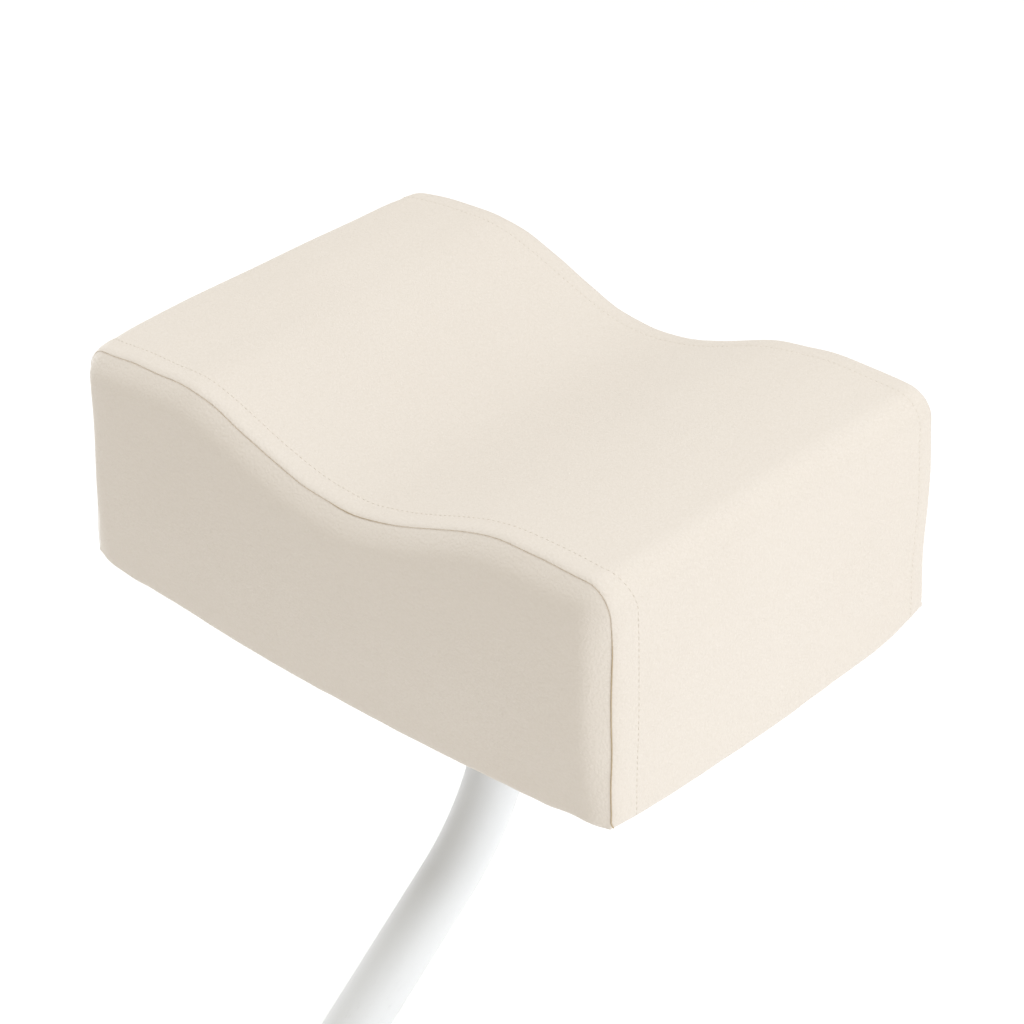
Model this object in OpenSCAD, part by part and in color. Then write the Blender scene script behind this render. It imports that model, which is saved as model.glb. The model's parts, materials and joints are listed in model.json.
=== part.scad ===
// Pedicure footrest stool: an upholstered leg pad on a bent arm that slides in a slanted sleeve.
// X runs across the leg, Y along it, Z up. The origin is on the floor under the middle of the stool.

/* [Pad] */
// Width of the pad across the leg
pad_x = 368; // [300:1:440]
// Length of the pad along the leg, from seam to seam
pad_y = 243; // [200:1:290]
// Height of the pad at its humps
pad_ht = 138.5; // [110:0.5:160]
// Depth of the trough below the humps
dip_depth = 28.5; // [15:0.5:40]
// Half width of the trough
dip_half = 121; // [90:1:140]
// Fall of the humps' outer shoulders
shoulder_fall = 1.5; // [0:0.5:5]
// Radius of the long upper corners
corner_r = 16; // [10:1:26]
// How far the sides draw in at the board
side_draw = 1; // [0:0.5:6]
// How far the wrap draws in at the end seams
end_draw = 2; // [0:0.5:5]
// Crown of the end panels
end_crown = 3.5; // [0:0.5:8]
// Share of the end panels' crown that is left at the board
base_crown_share = 0.9; // [0:0.1:1]
// Height of the pad's underside over the floor, as photographed
pad_underside = 480; // [440:1:520]

/* [Upholstery] */
// Thickness of the cover with its lining
cover_t = 1.6; // [1:0.1:3]
// Width of the cover turned under the board
hem_w = 30; // [20:1:45]
// Gap between cover and foam
foam_gap = 0.3; // [0.1:0.1:1]
// Thickness of the plywood board
board_t = 12; // [9:1:18]
// Gap between cover and board
board_gap = 1; // [0.5:0.1:3]
// Thickness of the dust cover
dust_t = 0.8; // [0.5:0.1:1.5]
// Distance from the board's edge to the dust cover's edge
dust_inset = 10; // [6:1:16]
// Gap between dust cover and bracket
dust_gap = 3; // [1:0.5:8]
// Crown width of a staple
staple_crown = 10; // [8:1:13]
// Wire thickness of a staple
staple_wire = 0.8; // [0.6:0.1:1.2]
// Leg length of a staple
staple_leg = 8; // [6:1:10]
// Distance from the dust cover's edge to the staples
staple_inset = 6; // [4:1:10]
// Largest spacing of the staples
staple_pitch = 48; // [30:1:80]

/* [Tilt bracket] */
// Width of the bracket's plate
plate_x = 116; // [100:1:140]
// Length of the bracket's plate
plate_y = 110; // [98:1:130]
// Thickness of plate and ears
plate_t = 4; // [3:0.5:6]
// Distance from the pad's underside down to the tilt axis
pivot_drop = 30; // [29:1:40]
// Distance from a bracket screw to the plate's edge
screw_edge = 14; // [10:1:20]
// Diameter of a bracket screw
screw_d = 6; // [5:1:8]
// Head diameter of a bracket screw
screw_head_d = 10.5; // [9:0.5:14]
// Head height of a bracket screw
screw_head_t = 3.3; // [2.5:0.1:5]
// Flange diameter of a tee nut
tee_flange_d = 19; // [16:0.5:24]
// Flange thickness of a tee nut
tee_flange_t = 1.5; // [1:0.1:2]
// Wall of a tee nut's barrel
tee_wall = 1.2; // [0.8:0.1:1.6]
// Barrel length of a tee nut below its flange
tee_barrel = 7; // [5:0.5:7.5]
// Clearance round a bolt or screw
bolt_gap = 0.3; // [0.1:0.05:0.6]
// Distance from the tilt axis to a stop pin
stop_reach = 36; // [34:1:42]
// Diameter of a stop pin
stop_pin_d = 8; // [6:1:10]
// Tilt to either side, in degrees
tilt_limit = 28; // [15:1:35]
// Metal left round a stop pin in the ear
stop_margin = 5; // [4:0.5:8]

/* [Tilt pivot] */
// Length of the welded cross boss
boss_len = 46; // [40:1:60]
// Wall of the cross boss
boss_wall = 6; // [4:0.5:8]
// Diameter of the tilt bolt
tilt_bolt_d = 10; // [8:1:12]
// Head diameter of the tilt bolt
tilt_head_d = 21; // [18:0.5:26]
// Head height of the tilt bolt
tilt_head_t = 5; // [4:0.5:7]
// Flange diameter of a pivot bush
bush_flange_d = 30; // [26:1:32]
// Flange thickness of a pivot bush
bush_flange_t = 3; // [2:0.5:4]
// Barrel length of a pivot bush
bush_barrel = 14; // [8:1:18]
// Side clearance of a pivot bush in the bracket
bush_side_gap = 0.1; // [0.05:0.05:0.3]
// Radial clearance of a running fit
run_gap = 0.05; // [0.02:0.01:0.1]
// Thickness of the washer under the tilt knob
washer_t = 2; // [1:0.5:3]
// Diameter of the washer under the tilt knob
washer_d = 24; // [20:1:28]

/* [Knobs] */
// Diameter of a star knob
knob_d = 50; // [42:1:60]
// Thickness of a star knob
knob_t = 22; // [18:1:28]
// Diameter of a knob's lobes
lobe_d = 17; // [14:1:20]
// Number of lobes on a knob
lobe_count = 5; // [4:1:7]
// Radius of the dome on a knob's face
knob_dome_r = 62; // [50:1:90]
// Diameter of the collar behind a knob
knob_collar_d = 24; // [20:1:28]
// Length of the collar behind a knob
knob_collar_t = 5; // [3:1:8]
// Wall of a knob's brass insert
insert_wall = 3; // [2:0.5:4]
// Length of a knob's brass insert
insert_len = 16; // [12:1:20]
// Clearance between knob and washer
knob_gap = 0.1; // [0.05:0.05:0.3]

/* [Arm] */
// Outer diameter of the arm tube
arm_d = 32; // [28:1:34]
// Wall of the arm tube and of the rails
tube_wall = 1.5; // [1.2:0.1:2.5]
// Bend radius of the arm at the tube's centre
bend_r = 130; // [110:1:160]
// Slope of the arm's lower part: how far it runs forwards
lean_run = 4; // [3.5:0.1:4.4]
// Slope of the arm's lower part: how far it rises over that run
lean_rise = 3; // [2.8:0.1:3.4]
// Upright length between the tilt axis and the bend
neck_len = 30; // [30:1:50]
// How far the arm slides down from the photographed height
travel_down = 100; // [60:1:100]
// How far the arm slides up from the photographed height
travel_up = 30; // [10:1:40]
// Arm left below its slot
slot_end = 12; // [8:1:20]
// Collar length of the arm's end plug
arm_plug_collar = 10; // [6:1:14]
// Length of a plug's spigot in its tube
spigot_len = 16; // [10:1:22]

/* [Sleeve] */
// Bare arm between its bend and the sleeve, as photographed
bare_arm = 120; // [112:1:130]
// Collar height of the sleeve's bush
mouth_collar_t = 3; // [2:0.5:5]
// Overhang of the bush's collar round the sleeve
mouth_collar_rim = 2; // [1:0.5:4]
// Depth of the bush in the sleeve
mouth_bush_len = 22; // [15:1:26]
// Distance from the sleeve's mouth down to the clamp
clamp_below = 42; // [40:1:50]
// Distance from the sleeve's mouth down to the guide screw
guide_below = 115; // [112:1:125]
// Thickness of a cheek plate
cheek_t = 3; // [2:0.5:5]
// Reach of a cheek plate along the sleeve
cheek_len = 88; // [70:1:110]
// Metal of a cheek plate round the cross tube
cheek_rim = 7; // [5:0.5:10]
// Half width of a cheek plate along the sleeve
cheek_half = 13; // [10:1:17]

/* [Clamp and guide] */
// Diameter of the clamp stud
stud_d = 8; // [6:1:10]
// Diameter of the clamp shoe
shoe_d = 12; // [11:1:14]
// Length of the clamp shoe
shoe_len = 8; // [6:0.5:10]
// Depth of the stud's tip in the shoe
tip_depth = 4; // [3:0.5:5]
// Diameter of the stud's tip
tip_d = 5; // [4:0.5:5.5]
// How far the shoe draws back when the clamp is loose
clamp_travel = 2.5; // [1.5:0.5:3.5]
// Outer diameter of the clamp's boss
clamp_boss_d = 20; // [18:1:24]
// Threaded length of the clamp's boss
clamp_thread_len = 10; // [8:1:14]
// Gap between the boss and the clamp knob when tight
clamp_knob_gap = 4; // [3:1:8]
// Length of a stud or insert moulded into its knob
stud_grip = 16; // [12:1:18]
// Outer diameter of the guide screw's boss
guide_boss_d = 16; // [14:1:20]
// Length of the guide screw's boss outside the sleeve
guide_boss_len = 8; // [6:1:12]
// Diameter of the guide screw
guide_d = 8; // [6:1:10]
// Diameter of the guide screw's nose
nose_d = 6; // [4:0.5:6]
// Side clearance of the nose in the arm's slot
slot_gap = 0.1; // [0.05:0.05:0.3]
// Width of the guide screw's lock nut across its flats
nut_flats = 13; // [12:1:16]
// Thickness of the guide screw's lock nut
nut_t = 4; // [3:0.5:6]
// Key size of the guide screw
hex_key = 4; // [3:0.5:5]
// Depth of the key socket
hex_depth = 4; // [3:0.5:5]

/* [Base] */
// Outer diameter of the base tubes and of the sleeve
rail_d = 38; // [36:1:42]
// Distance between the centres of the base's legs
rail_gauge = 300; // [260:1:330]
// Reach of the base behind the tilt axis
back_reach = 121; // [100:1:135]
// Length of the legs in front of the cross tube's centre
leg_overhang = 24; // [22:1:40]
// Thickness of a leg's end cap
cap_t = 3; // [2:0.5:5]
// How far a welded tube ends short of the crossing tube's centre
saddle_relief = 3; // [2:0.5:5]

/* [Feet] */
// Height of the base tubes over the floor
foot_h = 14; // [10:1:20]
// Diameter of a foot at the floor
foot_d = 36; // [30:1:42]
// Diameter of a foot at its top
foot_top_d = 32; // [26:1:36]
// How far a foot rises round its tube
foot_cup = 6; // [3:0.5:8]
// Angle of the rear feet from the base's middle line, in degrees
rear_foot_angle = 45; // [30:1:60]
// Diameter of a foot screw
foot_screw_d = 6; // [5:0.5:8]
// Head diameter of a foot screw
foot_head_d = 12; // [10:0.5:14]
// Head height of a foot screw
foot_head_t = 3.5; // [2.5:0.5:5]
// Depth of a foot screw's head above the floor
foot_head_sink = 2; // [1:0.5:3]
// Clearance round a foot screw's head
foot_head_gap = 0.5; // [0.3:0.1:1.5]
// Length of a foot screw inside the tube
foot_screw_in = 6; // [4:1:10]

/* [Hidden] */
$fn = 64;

// Overrun of a cut past the face that it opens
over = 1;
// Columns across the trough, at each corner's arc, and rows up a side
mid_cols = 24;
arc_cols = 5;
side_rows = 4;
// Places of the wrap's and the foam's sections along the pad, from its middle to an end seam
section_shares = [0, 0.4, 0.75, 0.92, 0.98, 1];
// How sharply the wrap draws in towards an end seam
draw_power = 6;

cream = [0.93, 0.90, 0.85];
white = [0.92, 0.92, 0.93];
black = [0.08, 0.08, 0.09];
steel = [0.70, 0.71, 0.73];
brass = [0.80, 0.66, 0.36];
foam_yellow = [0.93, 0.86, 0.62];
plywood = [0.80, 0.66, 0.46];
nylon = [0.86, 0.86, 0.83];

arm_r = arm_d / 2;
rail_r = rail_d / 2;
lean = atan2(lean_run, lean_rise);
rail_z = foot_h + rail_r;
pivot_z = pad_underside - pivot_drop;
bend_top_z = pivot_z - neck_len;
bend_end_y = -bend_r * (1 - cos(lean));
bend_end_z = bend_top_z - bend_r * sin(lean);
lean_len = (bend_end_z - rail_z) / cos(lean);
cross_y = bend_end_y - lean_len * sin(lean);
front_y = cross_y - leg_overhang;
rail_turn_y = back_reach - rail_r - rail_gauge / 2;
pad_back = pad_y / 2 + cover_t + end_crown;
pad_axis_y = -(front_y - cap_t + max(back_reach, pad_back)) / 2;

mouth_s = bare_arm;
clamp_s = mouth_s + clamp_below;
guide_s = mouth_s + guide_below;
slot_top_s = guide_s - travel_down;
slot_low_s = guide_s + travel_up;
arm_straight = slot_low_s + nose_d / 2 + slot_end;

// Places along the clamp and the guide screw, measured from the sleeve's axis, with the shoe at rest
shoe_back = arm_r + run_gap + shoe_len;
clamp_bore_end = shoe_back + clamp_travel + run_gap;
clamp_boss_end = clamp_bore_end + clamp_thread_len;
clamp_knob_x = clamp_boss_end + clamp_knob_gap;
guide_boss_end = rail_r + guide_boss_len;
guide_screw_end = guide_boss_end + nut_t + over;

ear_in = boss_len / 2 + bush_flange_t + bush_side_gap;
ear_out = ear_in + plate_t;
stop_angle = tilt_limit + asin((arm_r + stop_pin_d / 2) / stop_reach);
stop_y = stop_reach * sin(stop_angle);
stop_z = pivot_z - stop_reach * cos(stop_angle);
ear_corner_r = stop_pin_d / 2 + stop_margin;
plate_top_z = pad_underside + cover_t;
plate_low_z = plate_top_z - plate_t;
knob_x = ear_out + washer_t + knob_gap;
screw_x = plate_x / 2 - screw_edge;
screw_y = plate_y / 2 - screw_edge;

board_x = pad_x - 2 * (cover_t + side_draw + end_draw + board_gap);
board_y = pad_y - 2 * board_gap;
board_top = cover_t + board_t;
hem_in_x = board_x / 2 - hem_w;
hem_in_y = board_y / 2 - hem_w;
dust_x = board_x - 2 * dust_inset;
dust_y = board_y - 2 * dust_inset;
last_col = 2 * arc_cols + mid_cols;

// Places on the stool
module at_pad_axis() translate([0, pad_axis_y, 0]) children();
module at_pivot() translate([0, pad_axis_y, pivot_z]) children();
module at_underside() translate([0, pad_axis_y, pad_underside]) children();
module on_arm(s)
    translate([0, pad_axis_y + bend_end_y, bend_end_z])
        rotate([-lean, 0, 0])
            translate([0, 0, -s])
                children();
module across() rotate([0, 90, 0]) children();
module mirrored_x() {
    children();
    mirror([1, 0, 0]) children();
}
module at_corners(x, y) for (sx = [-1, 1], sy = [-1, 1]) translate([sx * x, sy * y, 0]) children();
module ring(outer_r, inner_r, h) {
    difference() {
        cylinder(r = outer_r, h = h);
        translate([0, 0, -over]) cylinder(r = inner_r, h = h + 2 * over);
    }
}

// Outline of the pad. Column i runs across it, share from its base up to its top,
// and along from 0 at the middle to 1 at an end seam.
function dip_z(x) = abs(x) < dip_half
    ? pad_ht - dip_depth * (1 + cos(180 * x / dip_half)) / 2
    : pad_ht - shoulder_fall * pow((abs(x) - dip_half) / (pad_x / 2 - dip_half), 2);
function drawn(along) = end_draw * pow(abs(along), draw_power);
function corner_drop(x, inset) =
    let (past = abs(x) - (pad_x / 2 - corner_r), r = corner_r - inset)
        past > 0 ? r - sqrt(max(0, r * r - past * past)) : 0;
function top_z(x, inset, along) = dip_z(x) - inset - corner_drop(x, inset) - drawn(along);
function side_x(z, inset, along) =
    pad_x / 2 - inset - drawn(along) - side_draw * pow(max(0, 1 - z / pad_ht), 3);
function column_x(i, inset) =
    let (run = pad_x / 2 - corner_r, r = corner_r - inset)
        i < arc_cols ? -run - r * sin(90 * (arc_cols - i) / arc_cols)
        : i > arc_cols + mid_cols ? run + r * sin(90 * (i - arc_cols - mid_cols) / arc_cols)
        : run * (2 * (i - arc_cols) / mid_cols - 1);
function pad_point(i, share, inset, base, along) =
    let (
        x = column_x(i, inset),
        z = base + share * (top_z(x, inset, along) - base),
        reach = side_x(z, inset, along) / (pad_x / 2 - inset)
    ) [x * reach, z];
function crown_y(i, share, inset) =
    let (fall = pow(2 * share - 1, 4))
        end_crown * (1 - pow(column_x(i, inset) / (pad_x / 2 - inset), 4))
            * (1 - (share < 0.5 ? 1 - base_crown_share : 1) * fall);

// Half of the wrap's section, from the hem up a side and over the top
function wrap_path(inset, base, along) = concat(
    [[-hem_in_x, base]],
    [for (j = [0 : side_rows - 1]) pad_point(0, j / side_rows, inset, base, along)],
    [for (i = [0 : last_col]) pad_point(i, 1, inset, base, along)],
    [for (j = [side_rows - 1 : -1 : 0]) pad_point(last_col, j / side_rows, inset, base, along)],
    [[hem_in_x, base]]);
function reversed(list) = [for (i = [len(list) - 1 : -1 : 0]) list[i]];
function both_ways(shares) = concat([for (i = [len(shares) - 1 : -1 : 1]) -shares[i]], shares);
// Two triangles that fill the patch of corners a, b, c and d
function patch(a, b, c, d) = [[a, b, c], [a, c, d]];

module cover_wrap() {
    stations = both_ways(section_shares);
    path_len = len(wrap_path(0, 0, 0));
    ring_len = 2 * path_len;
    points = [for (s = stations)
        for (p = concat(wrap_path(0, 0, s), reversed(wrap_path(cover_t, cover_t, s))))
            [p.x, s * pad_y / 2, p.y]];
    last = (len(stations) - 1) * ring_len;
    sides = [for (k = [0 : len(stations) - 2], i = [0 : ring_len - 1])
        let (a = k * ring_len + i, b = k * ring_len + (i + 1) % ring_len)
            each patch(a, b, b + ring_len, a + ring_len)];
    ends = [for (i = [0 : path_len - 2])
        let (a = i, b = i + 1, c = ring_len - 2 - i, d = ring_len - 1 - i)
            each concat(patch(d, c, b, a), patch(last + a, last + b, last + c, last + d))];
    color(cream) at_underside() polyhedron(points = points, faces = concat(sides, ends));
}

// A grid of points over an end panel's face, offset by out from the seam
function panel_face(out) = [for (i = [0 : last_col], j = [0 : side_rows])
    let (p = pad_point(i, j / side_rows, 0, 0, 1))
        [p.x, pad_y / 2 + out + crown_y(i, j / side_rows, 0), p.y]];

module end_panel() {
    rows = side_rows + 1;
    face_len = (last_col + 1) * rows;
    skins = [for (i = [0 : last_col - 1], j = [0 : side_rows - 1])
        let (a = i * rows + j, b = a + rows)
            each concat(patch(a, a + 1, b + 1, b),
                patch(face_len + a, face_len + b, face_len + b + 1, face_len + a + 1))];
    rim_points = concat(
        [for (i = [0 : last_col - 1]) i * rows],
        [for (j = [0 : side_rows - 1]) last_col * rows + j],
        [for (i = [last_col : -1 : 1]) i * rows + side_rows],
        [for (j = [side_rows : -1 : 1]) j]);
    rim = [for (k = [0 : len(rim_points) - 1])
        let (a = rim_points[k], b = rim_points[(k + 1) % len(rim_points)])
            each patch(a, b, face_len + b, face_len + a)];
    hem_side = hem_in_x - board_gap;
    hem_cols = [for (i = [0 : last_col]) if (abs(column_x(i, 0)) < hem_side) i];
    hem_edge = [for (i = hem_cols)
        [column_x(i, 0), pad_y / 2 + cover_t / 2 + crown_y(i, 0, 0)]];
    at_underside() {
        polyhedron(points = concat(panel_face(0), panel_face(cover_t)), faces = concat(skins, rim));
        linear_extrude(cover_t)
            polygon(concat([[hem_side, hem_in_y], [-hem_side, hem_in_y], [-hem_side, pad_y / 2]],
                hem_edge, [[hem_side, pad_y / 2]]));
    }
}
module cover_rear_panel() color(cream) end_panel();
module cover_front_panel()
    color(cream) at_pad_axis() mirror([0, 1, 0]) translate([0, -pad_axis_y, 0]) end_panel();

// Foam block: a box of columns, rows and sections bent to the pad's outline
module foam_core() {
    skin = cover_t + foam_gap;
    half = pad_y / 2 - foam_gap;
    stations = both_ways(section_shares);
    n_k = len(stations);
    rows = side_rows + 1;
    slab = (last_col + 1) * rows;
    points = [for (k = [0 : n_k - 1], i = [0 : last_col], j = [0 : side_rows])
        let (
            s = stations[k],
            p = pad_point(i, j / side_rows, skin, board_top, s),
            bulge = k == 0 ? -crown_y(i, j / side_rows, skin)
                : k == n_k - 1 ? crown_y(i, j / side_rows, skin) : 0
        ) [p.x, s * half + bulge, p.y]];
    long_faces = [for (k = [0 : n_k - 2], i = [0 : last_col - 1])
        let (a = k * slab + i * rows, b = a + side_rows)
            each concat(patch(a, a + rows, a + rows + slab, a + slab),
                patch(b, b + slab, b + rows + slab, b + rows))];
    side_faces = [for (k = [0 : n_k - 2], j = [0 : side_rows - 1])
        let (a = k * slab + j, b = a + last_col * rows)
            each concat(patch(a, a + slab, a + slab + 1, a + 1),
                patch(b, b + 1, b + slab + 1, b + slab))];
    end_faces = [for (i = [0 : last_col - 1], j = [0 : side_rows - 1])
        let (a = i * rows + j, b = a + (n_k - 1) * slab)
            each concat(patch(a, a + 1, a + rows + 1, a + rows),
                patch(b, b + rows, b + rows + 1, b + 1))];
    color(foam_yellow) at_underside()
        polyhedron(points = points, faces = concat(long_faces, side_faces, end_faces));
}

module pad_board() {
    color(plywood) at_underside()
        difference() {
            translate([-board_x / 2, -board_y / 2, cover_t]) cube([board_x, board_y, board_t]);
            at_corners(screw_x, screw_y) {
                cylinder(r = screw_d / 2 + tee_wall + run_gap, h = board_top + over);
                translate([0, 0, board_top - tee_flange_t])
                    cylinder(r = tee_flange_d / 2 + run_gap, h = tee_flange_t + over);
            }
        }
}

module dust_cover() {
    window_x = plate_x + 2 * dust_gap;
    window_y = plate_y + 2 * dust_gap;
    color(black) at_underside()
        difference() {
            translate([-dust_x / 2, -dust_y / 2, -dust_t]) cube([dust_x, dust_y, dust_t]);
            translate([-window_x / 2, -window_y / 2, -dust_t - over])
                cube([window_x, window_y, dust_t + 2 * over]);
        }
}

module staple() {
    translate([-staple_crown / 2, -staple_wire / 2, -staple_wire])
        cube([staple_crown, staple_wire, staple_wire]);
    for (x = [-staple_crown / 2, staple_crown / 2 - staple_wire])
        translate([x, -staple_wire / 2, -staple_wire / 2])
            cube([staple_wire, staple_wire, staple_leg]);
}
module staple_row(length, offset) {
    count = ceil(length / staple_pitch);
    for (i = [0 : count - 1], side = [-1, 1])
        translate([(i + 0.5 - count / 2) * length / count, side * offset, -dust_t]) staple();
}
module dust_cover_staples() {
    color(steel) at_underside() {
        staple_row(dust_x - 2 * staple_crown, dust_y / 2 - staple_inset);
        rotate([0, 0, 90]) staple_row(dust_y - 2 * staple_crown, dust_x / 2 - staple_inset);
    }
}

module tee_nuts() {
    color(steel) at_underside() at_corners(screw_x, screw_y)
        translate([0, 0, board_top - tee_flange_t]) {
            ring(tee_flange_d / 2, screw_d / 2 + run_gap, tee_flange_t);
            translate([0, 0, -tee_barrel])
                ring(screw_d / 2 + tee_wall, screw_d / 2 + run_gap, tee_barrel);
        }
}

module bracket_screws() {
    shank_top = board_top - tee_flange_t / 2;
    key_r = screw_d / 3;
    color(steel) at_underside() at_corners(screw_x, screw_y) {
        difference() {
            translate([0, 0, cover_t - plate_t - screw_head_t])
                cylinder(r1 = screw_head_d / 3, r2 = screw_head_d / 2, h = screw_head_t);
            translate([0, 0, cover_t - plate_t - screw_head_t - over])
                cylinder(r = key_r, h = screw_head_t / 2 + over, $fn = 6);
        }
        translate([0, 0, cover_t - plate_t])
            cylinder(r = screw_d / 2, h = shank_top - cover_t + plate_t);
    }
}

module bracket_ear() {
    ear_low = stop_z - ear_corner_r;
    translate([ear_in, 0, 0]) {
        translate([0, -stop_y - ear_corner_r, stop_z])
            cube([plate_t, 2 * (stop_y + ear_corner_r), plate_low_z - stop_z]);
        translate([0, -stop_y, ear_low]) cube([plate_t, 2 * stop_y, stop_z - ear_low + over]);
        for (y = [-stop_y, stop_y])
            translate([0, y, stop_z]) across() cylinder(r = ear_corner_r, h = plate_t);
    }
}
module bracket_plate() {
    color(steel) at_pad_axis()
        difference() {
            translate([-plate_x / 2, -plate_y / 2, plate_low_z]) cube([plate_x, plate_y, plate_t]);
            at_corners(screw_x, screw_y)
                translate([0, 0, plate_low_z - over])
                    cylinder(r = screw_d / 2 + bolt_gap, h = plate_t + 2 * over);
        }
}
module bracket_ears() {
    neck_side = tilt_bolt_d + 2 * run_gap;
    color(steel) at_pad_axis()
        difference() {
            mirrored_x() bracket_ear();
            translate([ear_in - over, 0, pivot_z])
                across() cylinder(r = tilt_bolt_d / 2 + run_gap, h = plate_t + 2 * over);
            translate([-ear_out - over, -neck_side / 2, pivot_z - neck_side / 2])
                cube([plate_t + 2 * over, neck_side, neck_side]);
            for (y = [-stop_y, stop_y])
                translate([-ear_out - over, y, stop_z])
                    across() cylinder(r = stop_pin_d / 2, h = 2 * (ear_out + over));
        }
}

module tilt_stop_pins() {
    color(steel) at_pad_axis()
        for (y = [-stop_y, stop_y])
            translate([-ear_out, y, stop_z]) across() cylinder(r = stop_pin_d / 2, h = 2 * ear_out);
}

module tilt_bolt() {
    bolt_end = knob_x + knob_collar_t + insert_len - over;
    color(steel) at_pivot() {
        translate([-ear_out, 0, 0]) across() cylinder(r = tilt_bolt_d / 2, h = ear_out + bolt_end);
        translate([-ear_out - over, -tilt_bolt_d / 2, -tilt_bolt_d / 2])
            cube([plate_t + over, tilt_bolt_d, tilt_bolt_d]);
        intersection() {
            translate([-ear_out - tilt_head_t, 0, 0])
                across() cylinder(r = tilt_head_d / 2, h = tilt_head_t);
            translate([tilt_head_d - tilt_head_t - ear_out, 0, 0]) sphere(r = tilt_head_d);
        }
    }
}

module tilt_washer() {
    color(steel) at_pivot() translate([ear_out, 0, 0])
        across() ring(washer_d / 2, tilt_bolt_d / 2 + bolt_gap, washer_t);
}

// Star knob along +Z, with its collar at the bottom and a blind bore of radius bore_r
module star_knob(bore_r, bore_len) {
    lobe_ring_r = (knob_d - lobe_d) / 2;
    difference() {
        union() {
            cylinder(r = knob_collar_d / 2, h = knob_collar_t + over);
            intersection() {
                translate([0, 0, knob_collar_t]) {
                    cylinder(r = lobe_ring_r, h = knob_t);
                    for (i = [0 : lobe_count - 1])
                        rotate([0, 0, 360 * i / lobe_count])
                            translate([lobe_ring_r, 0, 0]) cylinder(r = lobe_d / 2, h = knob_t);
                }
                translate([0, 0, knob_collar_t + knob_t - knob_dome_r]) sphere(r = knob_dome_r);
            }
        }
        translate([0, 0, -over]) cylinder(r = bore_r, h = bore_len + over);
    }
}

module tilt_knob() {
    color(black) at_pivot() translate([knob_x, 0, 0])
        across() star_knob(tilt_bolt_d / 2 + insert_wall, insert_len + knob_collar_t);
}

module tilt_knob_insert() {
    color(brass) at_pivot() translate([knob_x, 0, 0])
        across() ring(tilt_bolt_d / 2 + insert_wall, tilt_bolt_d / 2 + run_gap,
            insert_len + knob_collar_t);
}

// Bend of the arm: the part of a torus between the upright and the leaning part's end planes
module arm_bend(r) {
    span = bend_r + arm_d;
    intersection() {
        at_pad_axis() translate([0, -bend_r, bend_top_z])
            across() rotate_extrude() translate([bend_r, 0]) circle(r = r);
        at_pad_axis() translate([-arm_d, -2 * span, bend_top_z - 2 * span])
            cube([2 * arm_d, 3 * span, 2 * span]);
        on_arm(0) translate([-arm_d, -2 * span, 0]) cube([2 * arm_d, 4 * span, 2 * span]);
    }
}

// Solid along the arm's centre line, with both ends longer by extra
module arm_path(r, extra) {
    at_pad_axis() translate([0, 0, bend_top_z])
        cylinder(r = r, h = neck_len - saddle_relief + extra);
    arm_bend(r);
    on_arm(arm_straight + extra) cylinder(r = r, h = arm_straight + extra);
}

module arm_tube() {
    slot_r = nose_d / 2 + slot_gap;
    color(white)
        difference() {
            arm_path(arm_r, 0);
            arm_path(arm_r - tube_wall, over);
            at_pivot() translate([-boss_len / 2, 0, 0]) across() cylinder(r = arm_r, h = boss_len);
            on_arm(slot_low_s) translate([-arm_r - over, 0, 0]) {
                across() cylinder(r = slot_r, h = arm_r);
                translate([0, -slot_r, 0]) cube([arm_r, 2 * slot_r, slot_low_s - slot_top_s]);
                translate([0, 0, slot_low_s - slot_top_s]) across() cylinder(r = slot_r, h = arm_r);
            }
        }
}

module pivot_boss() {
    color(white) at_pivot() translate([-boss_len / 2, 0, 0])
        across() ring(arm_r, arm_r - boss_wall, boss_len);
}

module pivot_bushes() {
    color(nylon) at_pivot() mirrored_x()
        difference() {
            union() {
                translate([boss_len / 2, 0, 0])
                    across() cylinder(r = bush_flange_d / 2, h = bush_flange_t);
                translate([boss_len / 2 - bush_barrel, 0, 0])
                    across() cylinder(r = arm_r - boss_wall, h = bush_barrel + bush_flange_t / 2);
            }
            across() cylinder(r = tilt_bolt_d / 2 + run_gap, h = boss_len);
        }
}

module arm_end_plug() {
    color(black) on_arm(arm_straight) {
        cylinder(r = arm_r - tube_wall, h = spigot_len - slot_end / 2);
        translate([0, 0, -arm_plug_collar])
            cylinder(r = rail_r - tube_wall - run_gap, h = arm_plug_collar);
    }
}

// Solid along the base's U shape, with both ends longer by extra
module rail_path(r, extra) {
    translate([0, rail_turn_y, rail_z])
        rotate_extrude(angle = 180) translate([rail_gauge / 2, 0]) circle(r = r);
    for (x = [-rail_gauge / 2, rail_gauge / 2])
        translate([x, rail_turn_y, rail_z])
            rotate([90, 0, 0]) cylinder(r = r, h = rail_turn_y - front_y + extra);
}
module cross_path(r)
    translate([-rail_gauge / 2 + saddle_relief, cross_y, rail_z])
        across() cylinder(r = r, h = rail_gauge - 2 * saddle_relief);

// Places of the four feet, at the tubes' underside
module at_feet() {
    at_pad_axis() {
        for (x = [-rail_gauge / 2, rail_gauge / 2]) translate([x, cross_y, 0]) children();
        for (side = [-1, 1])
            translate([side * rail_gauge / 2 * sin(rear_foot_angle),
                rail_turn_y + rail_gauge / 2 * cos(rear_foot_angle), 0]) children();
    }
}

module base_rail() {
    color(white)
        difference() {
            at_pad_axis()
                difference() {
                    rail_path(rail_r, 0);
                    rail_path(rail_r - tube_wall, over);
                }
            at_feet() translate([0, 0, foot_h - over])
                cylinder(r = foot_screw_d / 2 + run_gap, h = rail_r);
        }
}

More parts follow.
